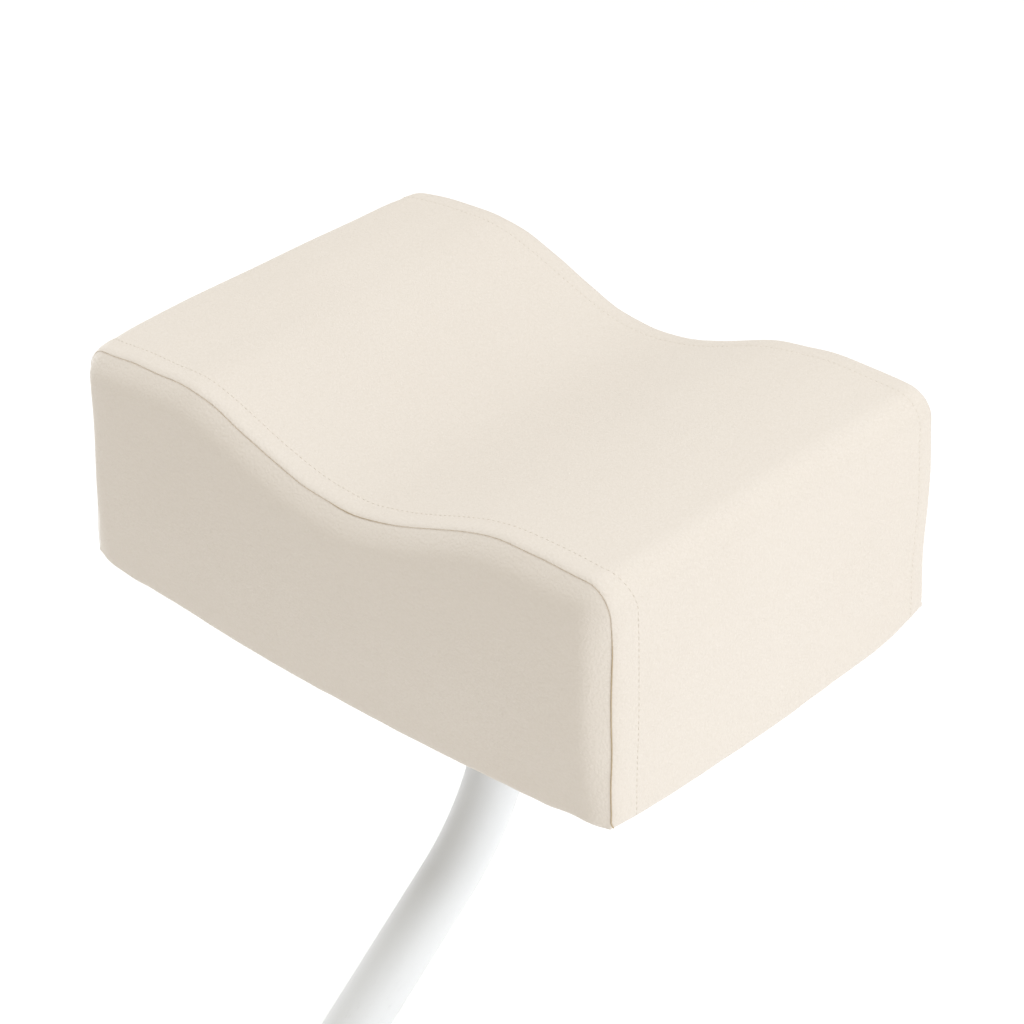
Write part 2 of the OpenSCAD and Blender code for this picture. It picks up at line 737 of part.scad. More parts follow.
module base_cross_tube() {
    color(white) at_pad_axis()
        difference() {
            cross_path(rail_r);
            translate([-rail_gauge, cross_y, rail_z])
                across() cylinder(r = rail_r - tube_wall, h = 2 * rail_gauge);
            for (x = [-rail_gauge / 2, rail_gauge / 2])
                translate([x, rail_turn_y, rail_z])
                    rotate([90, 0, 0]) cylinder(r = rail_r, h = rail_turn_y - front_y + over);
        }
}

module sleeve_tube() {
    length = lean_len - mouth_s - saddle_relief;
    color(white)
        difference() {
            on_arm(lean_len - saddle_relief) ring(rail_r, rail_r - tube_wall, length);
            at_pad_axis() cross_path(rail_r);
            on_arm(clamp_s) across() cylinder(r = shoe_d / 2 + run_gap, h = rail_d);
            on_arm(guide_s) mirror([1, 0, 0])
                across() cylinder(r = guide_d / 2 + run_gap, h = rail_d);
        }
}

module sleeve_cheeks() {
    color(white)
        difference() {
            on_arm(lean_len) mirrored_x() translate([rail_r, 0, 0]) {
                across() cylinder(r = rail_r + cheek_rim, h = cheek_t);
                translate([0, -cheek_half, 0]) cube([cheek_t, 2 * cheek_half, cheek_len]);
                translate([0, 0, cheek_len]) across() cylinder(r = cheek_half, h = cheek_t);
            }
            at_pad_axis() cross_path(rail_r);
        }
}

module sleeve_bush() {
    color(black) on_arm(mouth_s)
        difference() {
            union() {
                cylinder(r = rail_r + mouth_collar_rim, h = mouth_collar_t);
                translate([0, 0, -mouth_bush_len])
                    cylinder(r = rail_r - tube_wall, h = mouth_bush_len + mouth_collar_t / 2);
            }
            translate([0, 0, -mouth_bush_len - over])
                cylinder(r = arm_r + run_gap, h = mouth_bush_len + mouth_collar_t + 2 * over);
        }
}

module clamp_boss() {
    color(white)
        difference() {
            on_arm(clamp_s) across() cylinder(r = clamp_boss_d / 2, h = clamp_boss_end);
            on_arm(clamp_s + clamp_boss_d) cylinder(r = rail_r, h = 2 * clamp_boss_d);
            on_arm(clamp_s) across() {
                cylinder(r = shoe_d / 2 + run_gap, h = clamp_bore_end);
                cylinder(r = stud_d / 2 + run_gap, h = clamp_boss_end + over);
            }
        }
}

module clamp_shoe() {
    color(nylon)
        difference() {
            on_arm(clamp_s) across() cylinder(r = shoe_d / 2, h = shoe_back);
            on_arm(clamp_s + shoe_d) cylinder(r = arm_r + run_gap, h = 2 * shoe_d);
            on_arm(clamp_s) translate([shoe_back - tip_depth, 0, 0])
                across() cylinder(r = tip_d / 2 + run_gap, h = tip_depth + over);
        }
}

module clamp_stud() {
    stud_start = shoe_back + run_gap;
    color(steel) on_arm(clamp_s) {
        translate([stud_start, 0, 0])
            across() cylinder(r = stud_d / 2, h = clamp_knob_x + stud_grip - stud_start);
        translate([stud_start - tip_depth, 0, 0])
            across() cylinder(r = tip_d / 2, h = tip_depth + over);
    }
}

module clamp_knob() {
    color(black) on_arm(clamp_s) translate([clamp_knob_x, 0, 0])
        across() star_knob(stud_d / 2, stud_grip);
}

module guide_boss() {
    color(white)
        difference() {
            on_arm(guide_s) mirror([1, 0, 0])
                across() cylinder(r = guide_boss_d / 2, h = guide_boss_end);
            on_arm(guide_s + guide_boss_d) cylinder(r = rail_r, h = 2 * guide_boss_d);
            on_arm(guide_s) mirror([1, 0, 0])
                across() cylinder(r = guide_d / 2 + run_gap, h = guide_boss_end + over);
        }
}

module guide_screw() {
    nose_start = arm_r - tube_wall;
    color(steel) on_arm(guide_s) mirror([1, 0, 0])
        difference() {
            union() {
                translate([nose_start, 0, 0])
                    across() cylinder(r = nose_d / 2, h = guide_screw_end - nose_start);
                translate([arm_r + 2 * run_gap, 0, 0])
                    across() cylinder(r = guide_d / 2, h = guide_screw_end - arm_r - 2 * run_gap);
            }
            translate([guide_screw_end - hex_depth, 0, 0])
                across() cylinder(r = hex_key / 2 / cos(30), h = hex_depth + over, $fn = 6);
        }
}

module guide_locknut() {
    color(steel) on_arm(guide_s) mirror([1, 0, 0]) translate([guide_boss_end, 0, 0])
        across() difference() {
            cylinder(r = nut_flats / 2 / cos(30), h = nut_t, $fn = 6);
            translate([0, 0, -over]) cylinder(r = guide_d / 2 + run_gap, h = nut_t + 2 * over);
        }
}

module rail_end_caps() {
    color(black) at_pad_axis()
        for (x = [-rail_gauge / 2, rail_gauge / 2])
            translate([x, front_y, rail_z]) {
                rotate([90, 0, 0]) cylinder(r = rail_r, h = cap_t);
                rotate([-90, 0, 0]) cylinder(r = rail_r - tube_wall, h = spigot_len);
            }
}

module rubber_feet() {
    color(black)
        difference() {
            at_feet() cylinder(r1 = foot_d / 2, r2 = foot_top_d / 2, h = foot_h + foot_cup);
            at_pad_axis() rail_path(rail_r, over);
            at_pad_axis() cross_path(rail_r);
            at_feet() translate([0, 0, -over]) {
                cylinder(r = foot_head_d / 2 + foot_head_gap,
                    h = foot_head_sink + foot_head_t + over);
                cylinder(r = foot_screw_d / 2 + run_gap, h = foot_h + foot_cup);
            }
        }
}

module foot_screws() {
    color(steel) at_feet() {
        translate([0, 0, foot_head_sink])
            difference() {
                cylinder(r = foot_head_d / 2, h = foot_head_t);
                translate([0, 0, -over])
                    cylinder(r = foot_screw_d / 3, h = foot_head_t / 2 + over, $fn = 6);
            }
        translate([0, 0, foot_head_sink + foot_head_t])
            cylinder(r = foot_screw_d / 2,
                h = foot_h + tube_wall + foot_screw_in - foot_head_sink - foot_head_t);
    }
}

cover_wrap();
cover_front_panel();
cover_rear_panel();
foam_core();
pad_board();
dust_cover();
dust_cover_staples();
tee_nuts();
bracket_screws();
bracket_plate();
bracket_ears();
tilt_stop_pins();
tilt_bolt();
tilt_washer();
tilt_knob();
tilt_knob_insert();
arm_tube();
pivot_boss();
pivot_bushes();
arm_end_plug();
base_rail();
base_cross_tube();
sleeve_tube();
sleeve_cheeks();
sleeve_bush();
clamp_boss();
guide_boss();
guide_screw();
guide_locknut();
clamp_shoe();
clamp_stud();
clamp_knob();
rail_end_caps();
rubber_feet();
foot_screws();
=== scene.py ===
import json
import math

import bmesh
import bpy
import numpy as np
from mathutils import Matrix, Vector


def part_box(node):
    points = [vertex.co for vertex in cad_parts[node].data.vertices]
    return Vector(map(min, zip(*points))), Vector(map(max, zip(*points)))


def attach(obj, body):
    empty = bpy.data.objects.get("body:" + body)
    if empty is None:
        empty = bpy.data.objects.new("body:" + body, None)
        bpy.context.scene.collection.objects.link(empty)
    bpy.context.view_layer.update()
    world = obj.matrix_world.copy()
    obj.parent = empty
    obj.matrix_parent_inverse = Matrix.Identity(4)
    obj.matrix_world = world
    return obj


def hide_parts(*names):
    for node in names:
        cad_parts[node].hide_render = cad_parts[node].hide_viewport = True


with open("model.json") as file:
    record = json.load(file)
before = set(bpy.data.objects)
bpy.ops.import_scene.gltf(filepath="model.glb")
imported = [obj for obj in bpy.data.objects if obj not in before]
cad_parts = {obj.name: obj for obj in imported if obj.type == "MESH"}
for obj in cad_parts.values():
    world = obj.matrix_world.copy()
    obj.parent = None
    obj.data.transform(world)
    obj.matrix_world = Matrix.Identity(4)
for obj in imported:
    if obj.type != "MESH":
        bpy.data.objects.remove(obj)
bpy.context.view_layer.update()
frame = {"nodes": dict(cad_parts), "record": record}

body_of = {node: body for body, nodes in frame["record"]["behaviour"]["bodies"].items() for node in nodes}
slot_of = {part["node"]: part["material_slot"] for part in frame["record"]["subparts"]}

# Places taken from the frame, in metres
board_low, board_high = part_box("pad_board")
boss_low, boss_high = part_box("pivot_boss")
cross_low, cross_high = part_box("base_cross_tube")
AXIS_Y = (board_low.y + board_high.y) / 2
PIVOT = Vector((0, AXIS_Y, (boss_low.z + boss_high.z) / 2))
CROSS = Vector((0, (cross_low.y + cross_high.y) / 2, (cross_low.z + cross_high.z) / 2))
UNDERSIDE = 0.480
ARM_UP = Vector((0, 0.8, 0.6))
ARM_SIDE = Vector((0, -0.6, 0.8))
ACROSS = Vector((1, 0, 0))
ARM_R = 0.016
RAIL_R = 0.019
RAIL_GAUGE = 0.300

# Outline of the cushion, in metres
PAD_X = 0.3688
PAD_Y = 0.243
PAD_HT = 0.1389
DIP_DEPTH = 0.0285
DIP_HALF = 0.121
SHOULDER_FALL = 0.0015
CORNER_R = 0.016
SIDE_DRAW = 0.001
END_CROWN = 0.0080
CROWN_REACH = 0.0170
BASE_CROWN_SHARE = 0.55
BASE_R = 0.0045
HEM_W = 0.028
COVER_T = 0.0012
SWELL_CAP = 0.0022
RUN = PAD_X / 2 - CORNER_R
MIDDLE = np.array([0, 0, PAD_HT / 2])
# The sides widen towards the front seam: by how much, and where that fades out
SIDE_WIDENING, WIDENING_FADES = 0.42, (0.016, 0.080)
# The end panels' crown fades towards the base, between these heights
CROWN_HEIGHTS = (-0.03, 0.07)
# How the wrap lies beside its seam: height of each form, and its reach or place from the seam
ALLOWANCE_T, ALLOWANCE_ENDS = 0.0006, (0.0098, 0.0135)
WIDE_ROLL, WIDE_REACH = 0.0011, 0.026
SEAM_ROLL, SEAM_REACH = 0.0013, 0.005
NIP, NIP_REACH = 0.0002, 0.0009
DIMPLE, DIMPLE_REACH, STITCH_LINE = 0.0002, 0.0009, 0.0115


# The camera

def make_camera():
    azimuth, elevation, roll = (math.radians(v) for v in (43.61, 31.35, -1.52))
    distance = 1.706
    target = Vector((0, AXIS_Y, UNDERSIDE + 0.0668))
    back = Vector((math.sin(azimuth) * math.cos(elevation),
                   -math.cos(azimuth) * math.cos(elevation), math.sin(elevation)))
    right = Vector((math.cos(azimuth), math.sin(azimuth), 0))
    up = back.cross(right)
    turned_right = right * math.cos(roll) + up * math.sin(roll)
    turned_up = up * math.cos(roll) - right * math.sin(roll)
    data = bpy.data.cameras.new("camera")
    camera = bpy.data.objects.new("camera", data)
    bpy.context.collection.objects.link(camera)
    data.sensor_width = 36
    data.lens = 115.19
    data.shift_x, data.shift_y = 0.0099, -0.0290
    data.clip_start, data.clip_end = 0.05, 50
    place = target + back * distance
    camera.matrix_world = Matrix([*zip(turned_right, turned_up, back, place), (0, 0, 0, 1)])
    bpy.context.scene.camera = camera


make_camera()


# Materials

class Paint:
    """A node material under construction."""

    def __init__(self, name, color, roughness, metallic=0.0):
        self.mat = bpy.data.materials.new(name)
        self.mat.use_nodes = True
        self.tree = self.mat.node_tree
        self.shader = self.tree.nodes["Principled BSDF"]
        self.set("Base Color", (*color, 1))
        self.set("Roughness", roughness)
        self.set("Metallic", metallic)
        self.place = self.node("ShaderNodeTexCoord").outputs["Object"]

    def set(self, name, value):
        self.shader.inputs[name].default_value = value

    def node(self, kind, **inputs):
        made = self.tree.nodes.new(kind)
        for name, value in inputs.items():
            self.feed(made.inputs[name.replace("_", " ")], value)
        return made

    def feed(self, socket, value):
        if isinstance(value, bpy.types.NodeSocket):
            self.tree.links.new(value, socket)
        else:
            socket.default_value = value

    def stretched(self, scale, turn=(0, 0, 0)):
        return self.node("ShaderNodeMapping", Vector=self.place, Scale=scale, Rotation=turn).outputs["Vector"]

    def noise(self, scale, detail=3.0, rough=0.5, place=None):
        return self.node("ShaderNodeTexNoise", Vector=place or self.place, Scale=scale, Detail=detail,
                         Roughness=rough).outputs["Fac"]

    def cells(self, scale, feature="F1", place=None):
        made = self.node("ShaderNodeTexVoronoi", Vector=place or self.place, Scale=scale)
        made.feature = feature
        return made.outputs["Distance"]

    def bands(self, scale, direction):
        made = self.node("ShaderNodeTexWave", Vector=self.place, Scale=scale)
        made.bands_direction = direction
        return made.outputs["Fac"]

    def between(self, value, low, high, to_low=0.0, to_high=1.0):
        return self.node("ShaderNodeMapRange", Value=value, From_Min=low, From_Max=high, To_Min=to_low,
                         To_Max=to_high).outputs["Result"]

    def math(self, operation, a, b):
        made = self.node("ShaderNodeMath")
        made.operation = operation
        self.feed(made.inputs[0], a)
        self.feed(made.inputs[1], b)
        return made.outputs["Value"]

    def mixed(self, factor, a, b):
        made = self.node("ShaderNodeMix")
        made.data_type = "RGBA"
        self.feed(made.inputs["Factor"], factor)
        for socket, value in zip([s for s in made.inputs if s.type == "RGBA"], (a, b)):
            self.feed(socket, value if isinstance(value, bpy.types.NodeSocket) else (*value, 1))
        return [s for s in made.outputs if s.type == "RGBA"][0]

    def color(self, factor, a, b):
        self.feed(self.shader.inputs["Base Color"], self.mixed(factor, a, b))

    def rough(self, scale, detail, low, high):
        """Roughness that varies from low to high over spots of a scale."""
        spots = self.between(self.noise(scale, detail), 0.3, 0.7, low, high)
        self.feed(self.shader.inputs["Roughness"], spots)

    def bump(self, height, distance, strength=1.0):
        made = self.node("ShaderNodeBump", Height=height, Distance=distance, Strength=strength)
        self.feed(self.shader.inputs["Normal"], made.outputs["Normal"])


def leather():
    p = Paint("cover_leather", (0.80, 0.735, 0.645), 0.5)
    pebbles = p.math("MULTIPLY", p.cells(760, "SMOOTH_F1"), 0.75)
    grain = p.math("ADD", pebbles, p.math("MULTIPLY", p.noise(1900, 2), 0.3))
    cloud = p.noise(9, 2)
    # Painted shade: the leather's colour is darkened along the grain's valleys
    valley = p.between(grain, 0.2, 0.75)
    base = p.mixed(cloud, (0.807, 0.740, 0.669), (0.777, 0.706, 0.634))
    p.color(p.math("MULTIPLY", valley, 0.18), base, (0.66, 0.585, 0.48))
    p.rough(420, 3, 0.42, 0.56)
    p.bump(grain, 0.00042, 0.75)
    p.set("Specular IOR Level", 0.38)
    return p.mat


def powder_coat(name, rubbed=False):
    """White powder coat. On the sliding arm it has faint rub streaks along the lower part."""
    p = Paint(name, (0.84, 0.84, 0.85), 0.33)
    factor, light, dark = p.noise(14, 2), (0.892, 0.897, 0.908), (0.872, 0.877, 0.888)
    if rubbed:
        along = p.stretched((900, 40, 260), (math.radians(53.13), 0, 0))
        streaks = p.between(p.noise(1.0, 3, 0.6, along), 0.60, 0.72)
        height = p.node("ShaderNodeSeparateXYZ", Vector=p.place).outputs["Z"]
        low = p.between(height, 0.30, 0.23)
        rub = p.math("MULTIPLY", streaks, p.math("MULTIPLY", low, 0.35))
        factor, light, dark = rub, p.mixed(factor, light, dark), (0.52, 0.52, 0.53)
    p.color(factor, light, dark)
    p.rough(260, 3, 0.38, 0.50)
    p.bump(p.noise(700, 2), 0.00008, 0.35)
    p.set("Specular IOR Level", 0.22)
    return p.mat


def zinc():
    p = Paint("zinc_plate", (0.66, 0.68, 0.70), 0.34, 1.0)
    p.color(p.noise(160, 4), (0.70, 0.72, 0.75), (0.58, 0.58, 0.55))
    p.rough(900, 4, 0.26, 0.44)
    p.bump(p.noise(1800, 2), 0.00004, 0.3)
    return p.mat


def brass():
    p = Paint("turned_brass", (0.76, 0.58, 0.29), 0.28, 1.0)
    p.color(p.noise(240, 3), (0.80, 0.62, 0.32), (0.62, 0.45, 0.20))
    p.bump(p.bands(900, "X"), 0.00003, 0.4)
    return p.mat


def moulded(name, color, worn, roughness=0.46):
    p = Paint(name, color, roughness)
    p.color(p.between(p.noise(60, 4), 0.35, 0.75), color, worn)
    p.rough(500, 3, roughness - 0.06, roughness + 0.08)
    p.bump(p.cells(1900), 0.00005, 0.5)
    return p.mat


def rubber():
    p = Paint("foot_rubber", (0.035, 0.035, 0.036), 0.8)
    p.color(p.between(p.noise(90, 5), 0.45, 0.8), (0.030, 0.030, 0.031), (0.085, 0.083, 0.080))
    p.bump(p.noise(1400, 3), 0.00012, 0.5)
    return p.mat


def nylon():
    p = Paint("natural_nylon", (0.80, 0.80, 0.75), 0.42)
    p.color(p.noise(80, 3), (0.82, 0.82, 0.77), (0.74, 0.74, 0.69))
    p.bump(p.noise(1200, 2), 0.00004, 0.4)
    p.set("Subsurface Weight", 0.12)
    return p.mat


def plywood():
    p = Paint("birch_plywood", (0.72, 0.56, 0.37), 0.65)
    fibre = p.noise(1.0, 5, 0.6, p.stretched((18, 420, 60)))
    plies = p.bands(115, "Z")
    grain = p.mixed(fibre, (0.78, 0.63, 0.43), (0.60, 0.44, 0.27))
    p.color(p.math("MULTIPLY", plies, 0.35), grain, (0.45, 0.31, 0.18))
    p.bump(fibre, 0.0002, 0.4)
    return p.mat


def dust_cloth():
    p = Paint("spunbond_cloth", (0.028, 0.028, 0.030), 0.88)
    dots = p.between(p.cells(620, "F1", p.stretched((1, 1, 0.01))), 0.25, 0.45)
    fibres = p.noise(1.0, 5, 0.7, p.stretched((1500, 260, 100), (0, 0, 0.5)))
    p.color(fibres, (0.018, 0.018, 0.019), (0.050, 0.050, 0.053))
    p.bump(p.math("ADD", p.math("MULTIPLY", dots, 0.6), fibres), 0.0002, 0.6)
    p.set("Sheen Weight", 0.15)
    return p.mat


def foam():
    p = Paint("cut_foam", (0.86, 0.77, 0.50), 0.95)
    p.color(p.cells(900), (0.88, 0.80, 0.54), (0.66, 0.55, 0.30))
    p.bump(p.cells(900), 0.0006, 0.6)
    return p.mat


def thread(name, color, shade):
    p = Paint(name, color, 0.7)
    p.color(p.noise(1500, 3), color, shade)
    p.bump(p.bands(1600, "DIAGONAL"), 0.00006, 0.6)
    return p.mat


def floor_paint():
    p = Paint("pale_floor", (0.90, 0.90, 0.90), 0.6)
    p.color(p.noise(3, 2), (0.905, 0.905, 0.905), (0.89, 0.89, 0.893))
    p.set("Emission Color", (1, 1, 1, 1))
    p.set("Emission Strength", 0.21)
    p.set("Specular IOR Level", 0.2)
    return p.mat


LEATHER = leather()
COAT = powder_coat("white_powder_coat")
ARM_COAT = powder_coat("white_powder_coat_rubbed", rubbed=True)
BLACK = moulded("black_plastic", (0.018, 0.018, 0.020), (0.040, 0.040, 0.042))
TOPSTITCH = thread("cream_thread", (0.80, 0.735, 0.645), (0.71, 0.64, 0.55))
# Tan bead colour: the seam's thread, and also painted shade of the seam's groove
SEAM_THREAD_AND_SHADE = thread("tan_thread_and_painted_shade", (0.60, 0.47, 0.30), (0.50, 0.38, 0.235))
SLOT_PAINT = {
    "cover": LEATHER, "foam": foam(), "board": plywood(), "dust_cloth": dust_cloth(), "zinc": zinc(),
    "bracket_steel": COAT, "knob_plastic": BLACK, "brass_insert": brass(), "white_paint": COAT,
    "nylon": nylon(), "black_plastic": BLACK, "foot_rubber": rubber(),
}


def paint_nodes():
    for name, obj in frame["nodes"].items():
        material = ARM_COAT if name == "arm_tube" else SLOT_PAINT[slot_of[name]]
        obj.data.materials.clear()
        obj.data.materials.append(material)


# Mesh helpers

def add_piece(name, points, faces, material, body, smooth=True):
    mesh = bpy.data.meshes.new(name)
    mesh.from_pydata([tuple(p) for p in points], [], [tuple(f) for f in faces])
    mesh.validate()
    obj = bpy.data.objects.new(name, mesh)
    bpy.context.collection.objects.link(obj)
    mesh.materials.append(material)
    mesh.polygons.foreach_set("use_smooth", [smooth] * len(mesh.polygons))
    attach(obj, body)
    return obj


def grid_faces(numbers, flip=False):
    """Faces between neighbours in a grid of vertex numbers."""
    faces = []
    for low, high in zip(numbers.tolist(), numbers.tolist()[1:]):
        for c in range(len(low) - 1):
            face = (low[c], low[c + 1], high[c + 1], high[c])
            faces.append(face[::-1] if flip else face)
    return faces


def ring_faces(rings, turns, closed=False):
    """Faces between rings of vertices, and from the last ring back to the first if closed."""
    numbers = np.arange(rings * turns).reshape(rings, turns)
    numbers = np.column_stack([numbers, numbers[:, :1]])
    return grid_faces(np.vstack([numbers, numbers[:1]]) if closed else numbers)


def tube_parts(points, radius, sides=6, closed=False, ripple=0.0, ripple_pitch=0.0023):
    """Vertices and faces of a round bead along points, with its ends closed by fans. The radius is one
    number or one for each point."""
    line = [Vector(p) for p in points]
    count = len(line)
    radii = np.broadcast_to(radius, count)
    verts = []
    normal = None
    travelled = 0.0
    for i, p in enumerate(line):
        before = line[i - 1] if i or closed else line[0]
        after = line[(i + 1) % count] if i + 1 < count or closed else line[-1]
        tangent = (after - before).normalized()
        if normal is None:
            normal = tangent.orthogonal().normalized()
        normal = (normal - tangent * normal.dot(tangent)).normalized()
        other = tangent.cross(normal)
        if i:
            travelled += (p - line[i - 1]).length
        r = radii[i] * (1 + ripple * math.sin(2 * math.pi * travelled / ripple_pitch))
        for k in range(sides):
            angle = 2 * math.pi * k / sides
            verts.append(p + (normal * math.cos(angle) + other * math.sin(angle)) * r)
    faces = ring_faces(count, sides, closed)
    if not closed:
        for ring, apex, flip in ((0, line[0], True), (count - 1, line[-1], False)):
            verts.append(apex)
            tip = len(verts) - 1
            for k in range(sides):
                a, b = ring * sides + k, ring * sides + (k + 1) % sides
                faces.append((b, a, tip) if flip else (a, b, tip))
    return verts, faces


def joined(parts):
    """One list of vertices and one of faces from several."""
    verts, faces = [], []
    for part_verts, part_faces in parts:
        start = len(verts)
        verts.extend(part_verts)
        faces.extend(tuple(i + start for i in f) for f in part_faces)
    return verts, faces


def lathe_parts(profile, origin, turns=48):
    """Solid turned about a line along Y, from (distance along, radius) pairs. Radius 0 closes an end."""
    verts, faces, rings = [], [], []
    for along, radius in profile:
        if radius == 0:
            verts.append(origin + Vector((0, along, 0)))
            rings.append([len(verts) - 1] * turns)
            continue
        rings.append(list(range(len(verts), len(verts) + turns)))
        for k in range(turns):
            a = 2 * math.pi * k / turns
            verts.append(origin + Vector((-radius * math.sin(a), along, radius * math.cos(a))))
    for low, high in zip(rings, rings[1:]):
        for k in range(turns):
            face = [low[k], low[(k + 1) % turns], high[(k + 1) % turns], high[k]]
            faces.append(tuple(dict.fromkeys(face)))
    return verts, faces


def softened(node, width):
    """A copy of a CAD node with its sharp edges rounded, shown in its place."""
    mesh = frame["nodes"][node].data.copy()
    mesh.name = node + "_rounded"
    obj = bpy.data.objects.new(node + "_rounded", mesh)
    bpy.context.collection.objects.link(obj)
    bm = bmesh.new()
    bm.from_mesh(mesh)
    bmesh.ops.remove_doubles(bm, verts=bm.verts, dist=2e-6)
    bmesh.ops.dissolve_limit(bm, angle_limit=math.radians(0.5), verts=bm.verts, edges=bm.edges)
    bm.to_mesh(mesh)
    bm.free()
    bevel = obj.modifiers.new("bevel", "BEVEL")
    bevel.width, bevel.segments = width, 2
    bevel.limit_method, bevel.angle_limit = "ANGLE", math.radians(40)
    bevel.harden_normals = True
    mesh.polygons.foreach_set("use_smooth", [True] * len(mesh.polygons))
    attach(obj, body_of[node])
    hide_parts(node)


# The cushion's outline

TOP, ARC, SIDE, EDGE, HEM = range(5)


def smooth_step(x, low, high):
    t = np.clip((x - low) / (high - low), 0, 1)
    return t * t * (3 - 2 * t)


def bell(x, middle, half):
    """1 in the middle, falling off softly on both sides."""
    return np.exp(-((x - middle) / half) ** 2)


def fading(distance, reach):
    """1 at no distance, falling to 0 at reach."""
    return (1 - np.clip(distance / reach, 0, 1)) ** 2


def dip_z(x):
    x = np.abs(x)
    shoulder = SHOULDER_FALL * (np.maximum(x - DIP_HALF, 0) / (PAD_X / 2 - DIP_HALF)) ** 2
    trough = DIP_DEPTH * (1 + np.cos(np.pi * np.minimum(x, DIP_HALF) / DIP_HALF)) / 2
    return PAD_HT - trough - shoulder


def top_z(x):
    past = np.maximum(np.abs(x) - RUN, 0)
    return dip_z(x) - (CORNER_R - np.sqrt(np.maximum(CORNER_R ** 2 - past ** 2, 0)))


def side_x(z):
    return PAD_X / 2 - SIDE_DRAW * np.maximum(0, 1 - z / PAD_HT) ** 3


def half_stations(top_count, arc_count, shares, edge_count, hem_count):
    """Stations of half a section, from the middle of the top round to the hem's inner edge."""
    return ([(TOP, k / top_count) for k in range(top_count)]
            + [(ARC, k / arc_count) for k in range(arc_count)]
            + [(SIDE, s) for s in shares]
            + [(EDGE, k / edge_count) for k in range(1, edge_count + 1)]
            + [(HEM, k / hem_count) for k in range(1, hem_count + 1)])


def station_inset(zone, t):
    """How far a station lies inside the pad's plan outline."""
    if zone == EDGE:
        return BASE_R * (1 - math.cos(t * math.pi / 2))
    return BASE_R + t * HEM_W if zone == HEM else 0.0


def edge_z(zone, t):
    """Height of a station round the base edge or on the hem."""
    return BASE_R * (1 - math.sin(t * math.pi / 2)) if zone == EDGE else 0.0


def top_x(zone, t):
    """Distance from the middle plane of a station on the top, before the sides draw in."""
    return t * RUN if zone == TOP else RUN + CORNER_R * math.sin(t * math.pi / 2)


def station_point(zone, t):
    """Distance from the middle plane and height of a station of half a section."""
    if zone in (TOP, ARC):
        x = top_x(zone, t)
        z = top_z(x)
        return x * side_x(z) / (PAD_X / 2), z
    if zone == SIDE:
        z = BASE_R + t * (top_z(PAD_X / 2) - BASE_R)
        return side_x(z), z
    return side_x(BASE_R) - station_inset(zone, t), edge_z(zone, t)


def wrap_points(stations, alongs):
    """Array of the wrap's points, path by alongs by 3, from the left hem over the top to the right one."""
    alongs = np.asarray(alongs, float)
    full = [(-1, z, t) for z, t in reversed(stations[1:])] + [(1, z, t) for z, t in stations]
    points = np.zeros((len(full), len(alongs), 3))
    beside = (1 - np.abs(alongs)) * PAD_Y / 2
    for i, (sign, zone, t) in enumerate(full):
        x, z = station_point(zone, t)
        widening = 0.0 if zone == TOP else SIDE_WIDENING * (t if zone == ARC else 1.0)
        spread = np.where(alongs < 0, widening * beside * (1 - smooth_step(beside, *WIDENING_FADES)), 0)
        points[i, :, 0] = sign * x
        points[i, :, 1] = np.sign(alongs) * (PAD_Y / 2 - beside - spread) - alongs * station_inset(zone, t)
        points[i, :, 2] = z
    return points


def panel_points(stations, side):
    """Array of an end panel's points, rows by columns by 3. Rows go from the hem up to the seam."""
    tops = [(z, t) for z, t in stations if z in (TOP, ARC)] + [(ARC, 1.0)]
    columns = [(-1, z, t) for z, t in reversed(tops[1:])] + [(1, z, t) for z, t in tops]
    rows = [(z, t) for z, t in reversed(stations) if z in (SIDE, EDGE, HEM)]
    points = np.zeros((len(rows), len(columns), 3))
    for c, (sign, zone, t) in enumerate(columns):
        x0 = top_x(zone, t)
        share = x0 / (PAD_X / 2)
        crest = float(top_z(x0))
        for r, (row_zone, row_t) in enumerate(rows):
            inset = station_inset(row_zone, row_t)
            if row_zone == SIDE:
                z = BASE_R + row_t * (crest - BASE_R)
                x = share * float(side_x(z))
            else:
                z = edge_z(row_zone, row_t)
                x = share * (float(side_x(BASE_R)) - inset)
            points[r, c] = (sign * x, side * (PAD_Y / 2 - inset), z)
    return points


def outline_of(panel):
    """The panel's seam: up its left side, along the top and down its right side."""
    return np.concatenate([panel[:-1, 0], panel[-1, :], panel[-2::-1, -1]])


def seam_distance(points, seam, shifts):
    """Distance of points from a seam as it was cut, and the seam's own shift at the place nearest to them.
    The part of the seam that runs under the cushion is left out."""
    flat = points.reshape(-1, 3)[:, [0, 2]]
    best = np.full(len(flat), 1.0)
    shift = np.zeros((len(flat), 3))
    for i in range(len(seam) - 1):
        if min(seam[i, 2], seam[i + 1, 2]) < BASE_R * 0.99:
            continue
        p, q = seam[i, [0, 2]], seam[i + 1, [0, 2]]
        d = q - p
        t = np.clip(((flat - p) @ d) / max(d @ d, 1e-12), 0, 1)[:, None]
        away = np.linalg.norm(flat - p - t * d, axis=1)
        nearer = away < best
        best[nearer] = away[nearer]
        shift[nearer] = (shifts[i] + t * (shifts[i + 1] - shifts[i]))[nearer]
    return best.reshape(points.shape[:2]), shift.reshape(points.shape)


def wobble(points, seed, wavelength):
    """Smooth repeatable noise at each point, mostly from -1 to 1."""
    rng = np.random.default_rng(seed)
    total = np.zeros(points.shape[:-1])
    for _ in range(7):
        direction = rng.normal(size=3)
        direction /= np.linalg.norm(direction)
        turn = 2 * np.pi / (wavelength * rng.uniform(0.7, 1.6))
        total += np.sin(points @ direction * turn + rng.uniform(0, 2 * np.pi))
    return total / 3.5


def grid_normals(points):
    """Normals of a grid of points, turned away from the cushion's middle."""
    n = np.cross(np.gradient(points, axis=0), np.gradient(points, axis=1))
    n /= np.maximum(np.linalg.norm(n, axis=-1, keepdims=True), 1e-9)
    return n if (n * (points - MIDDLE)).sum() > 0 else -n


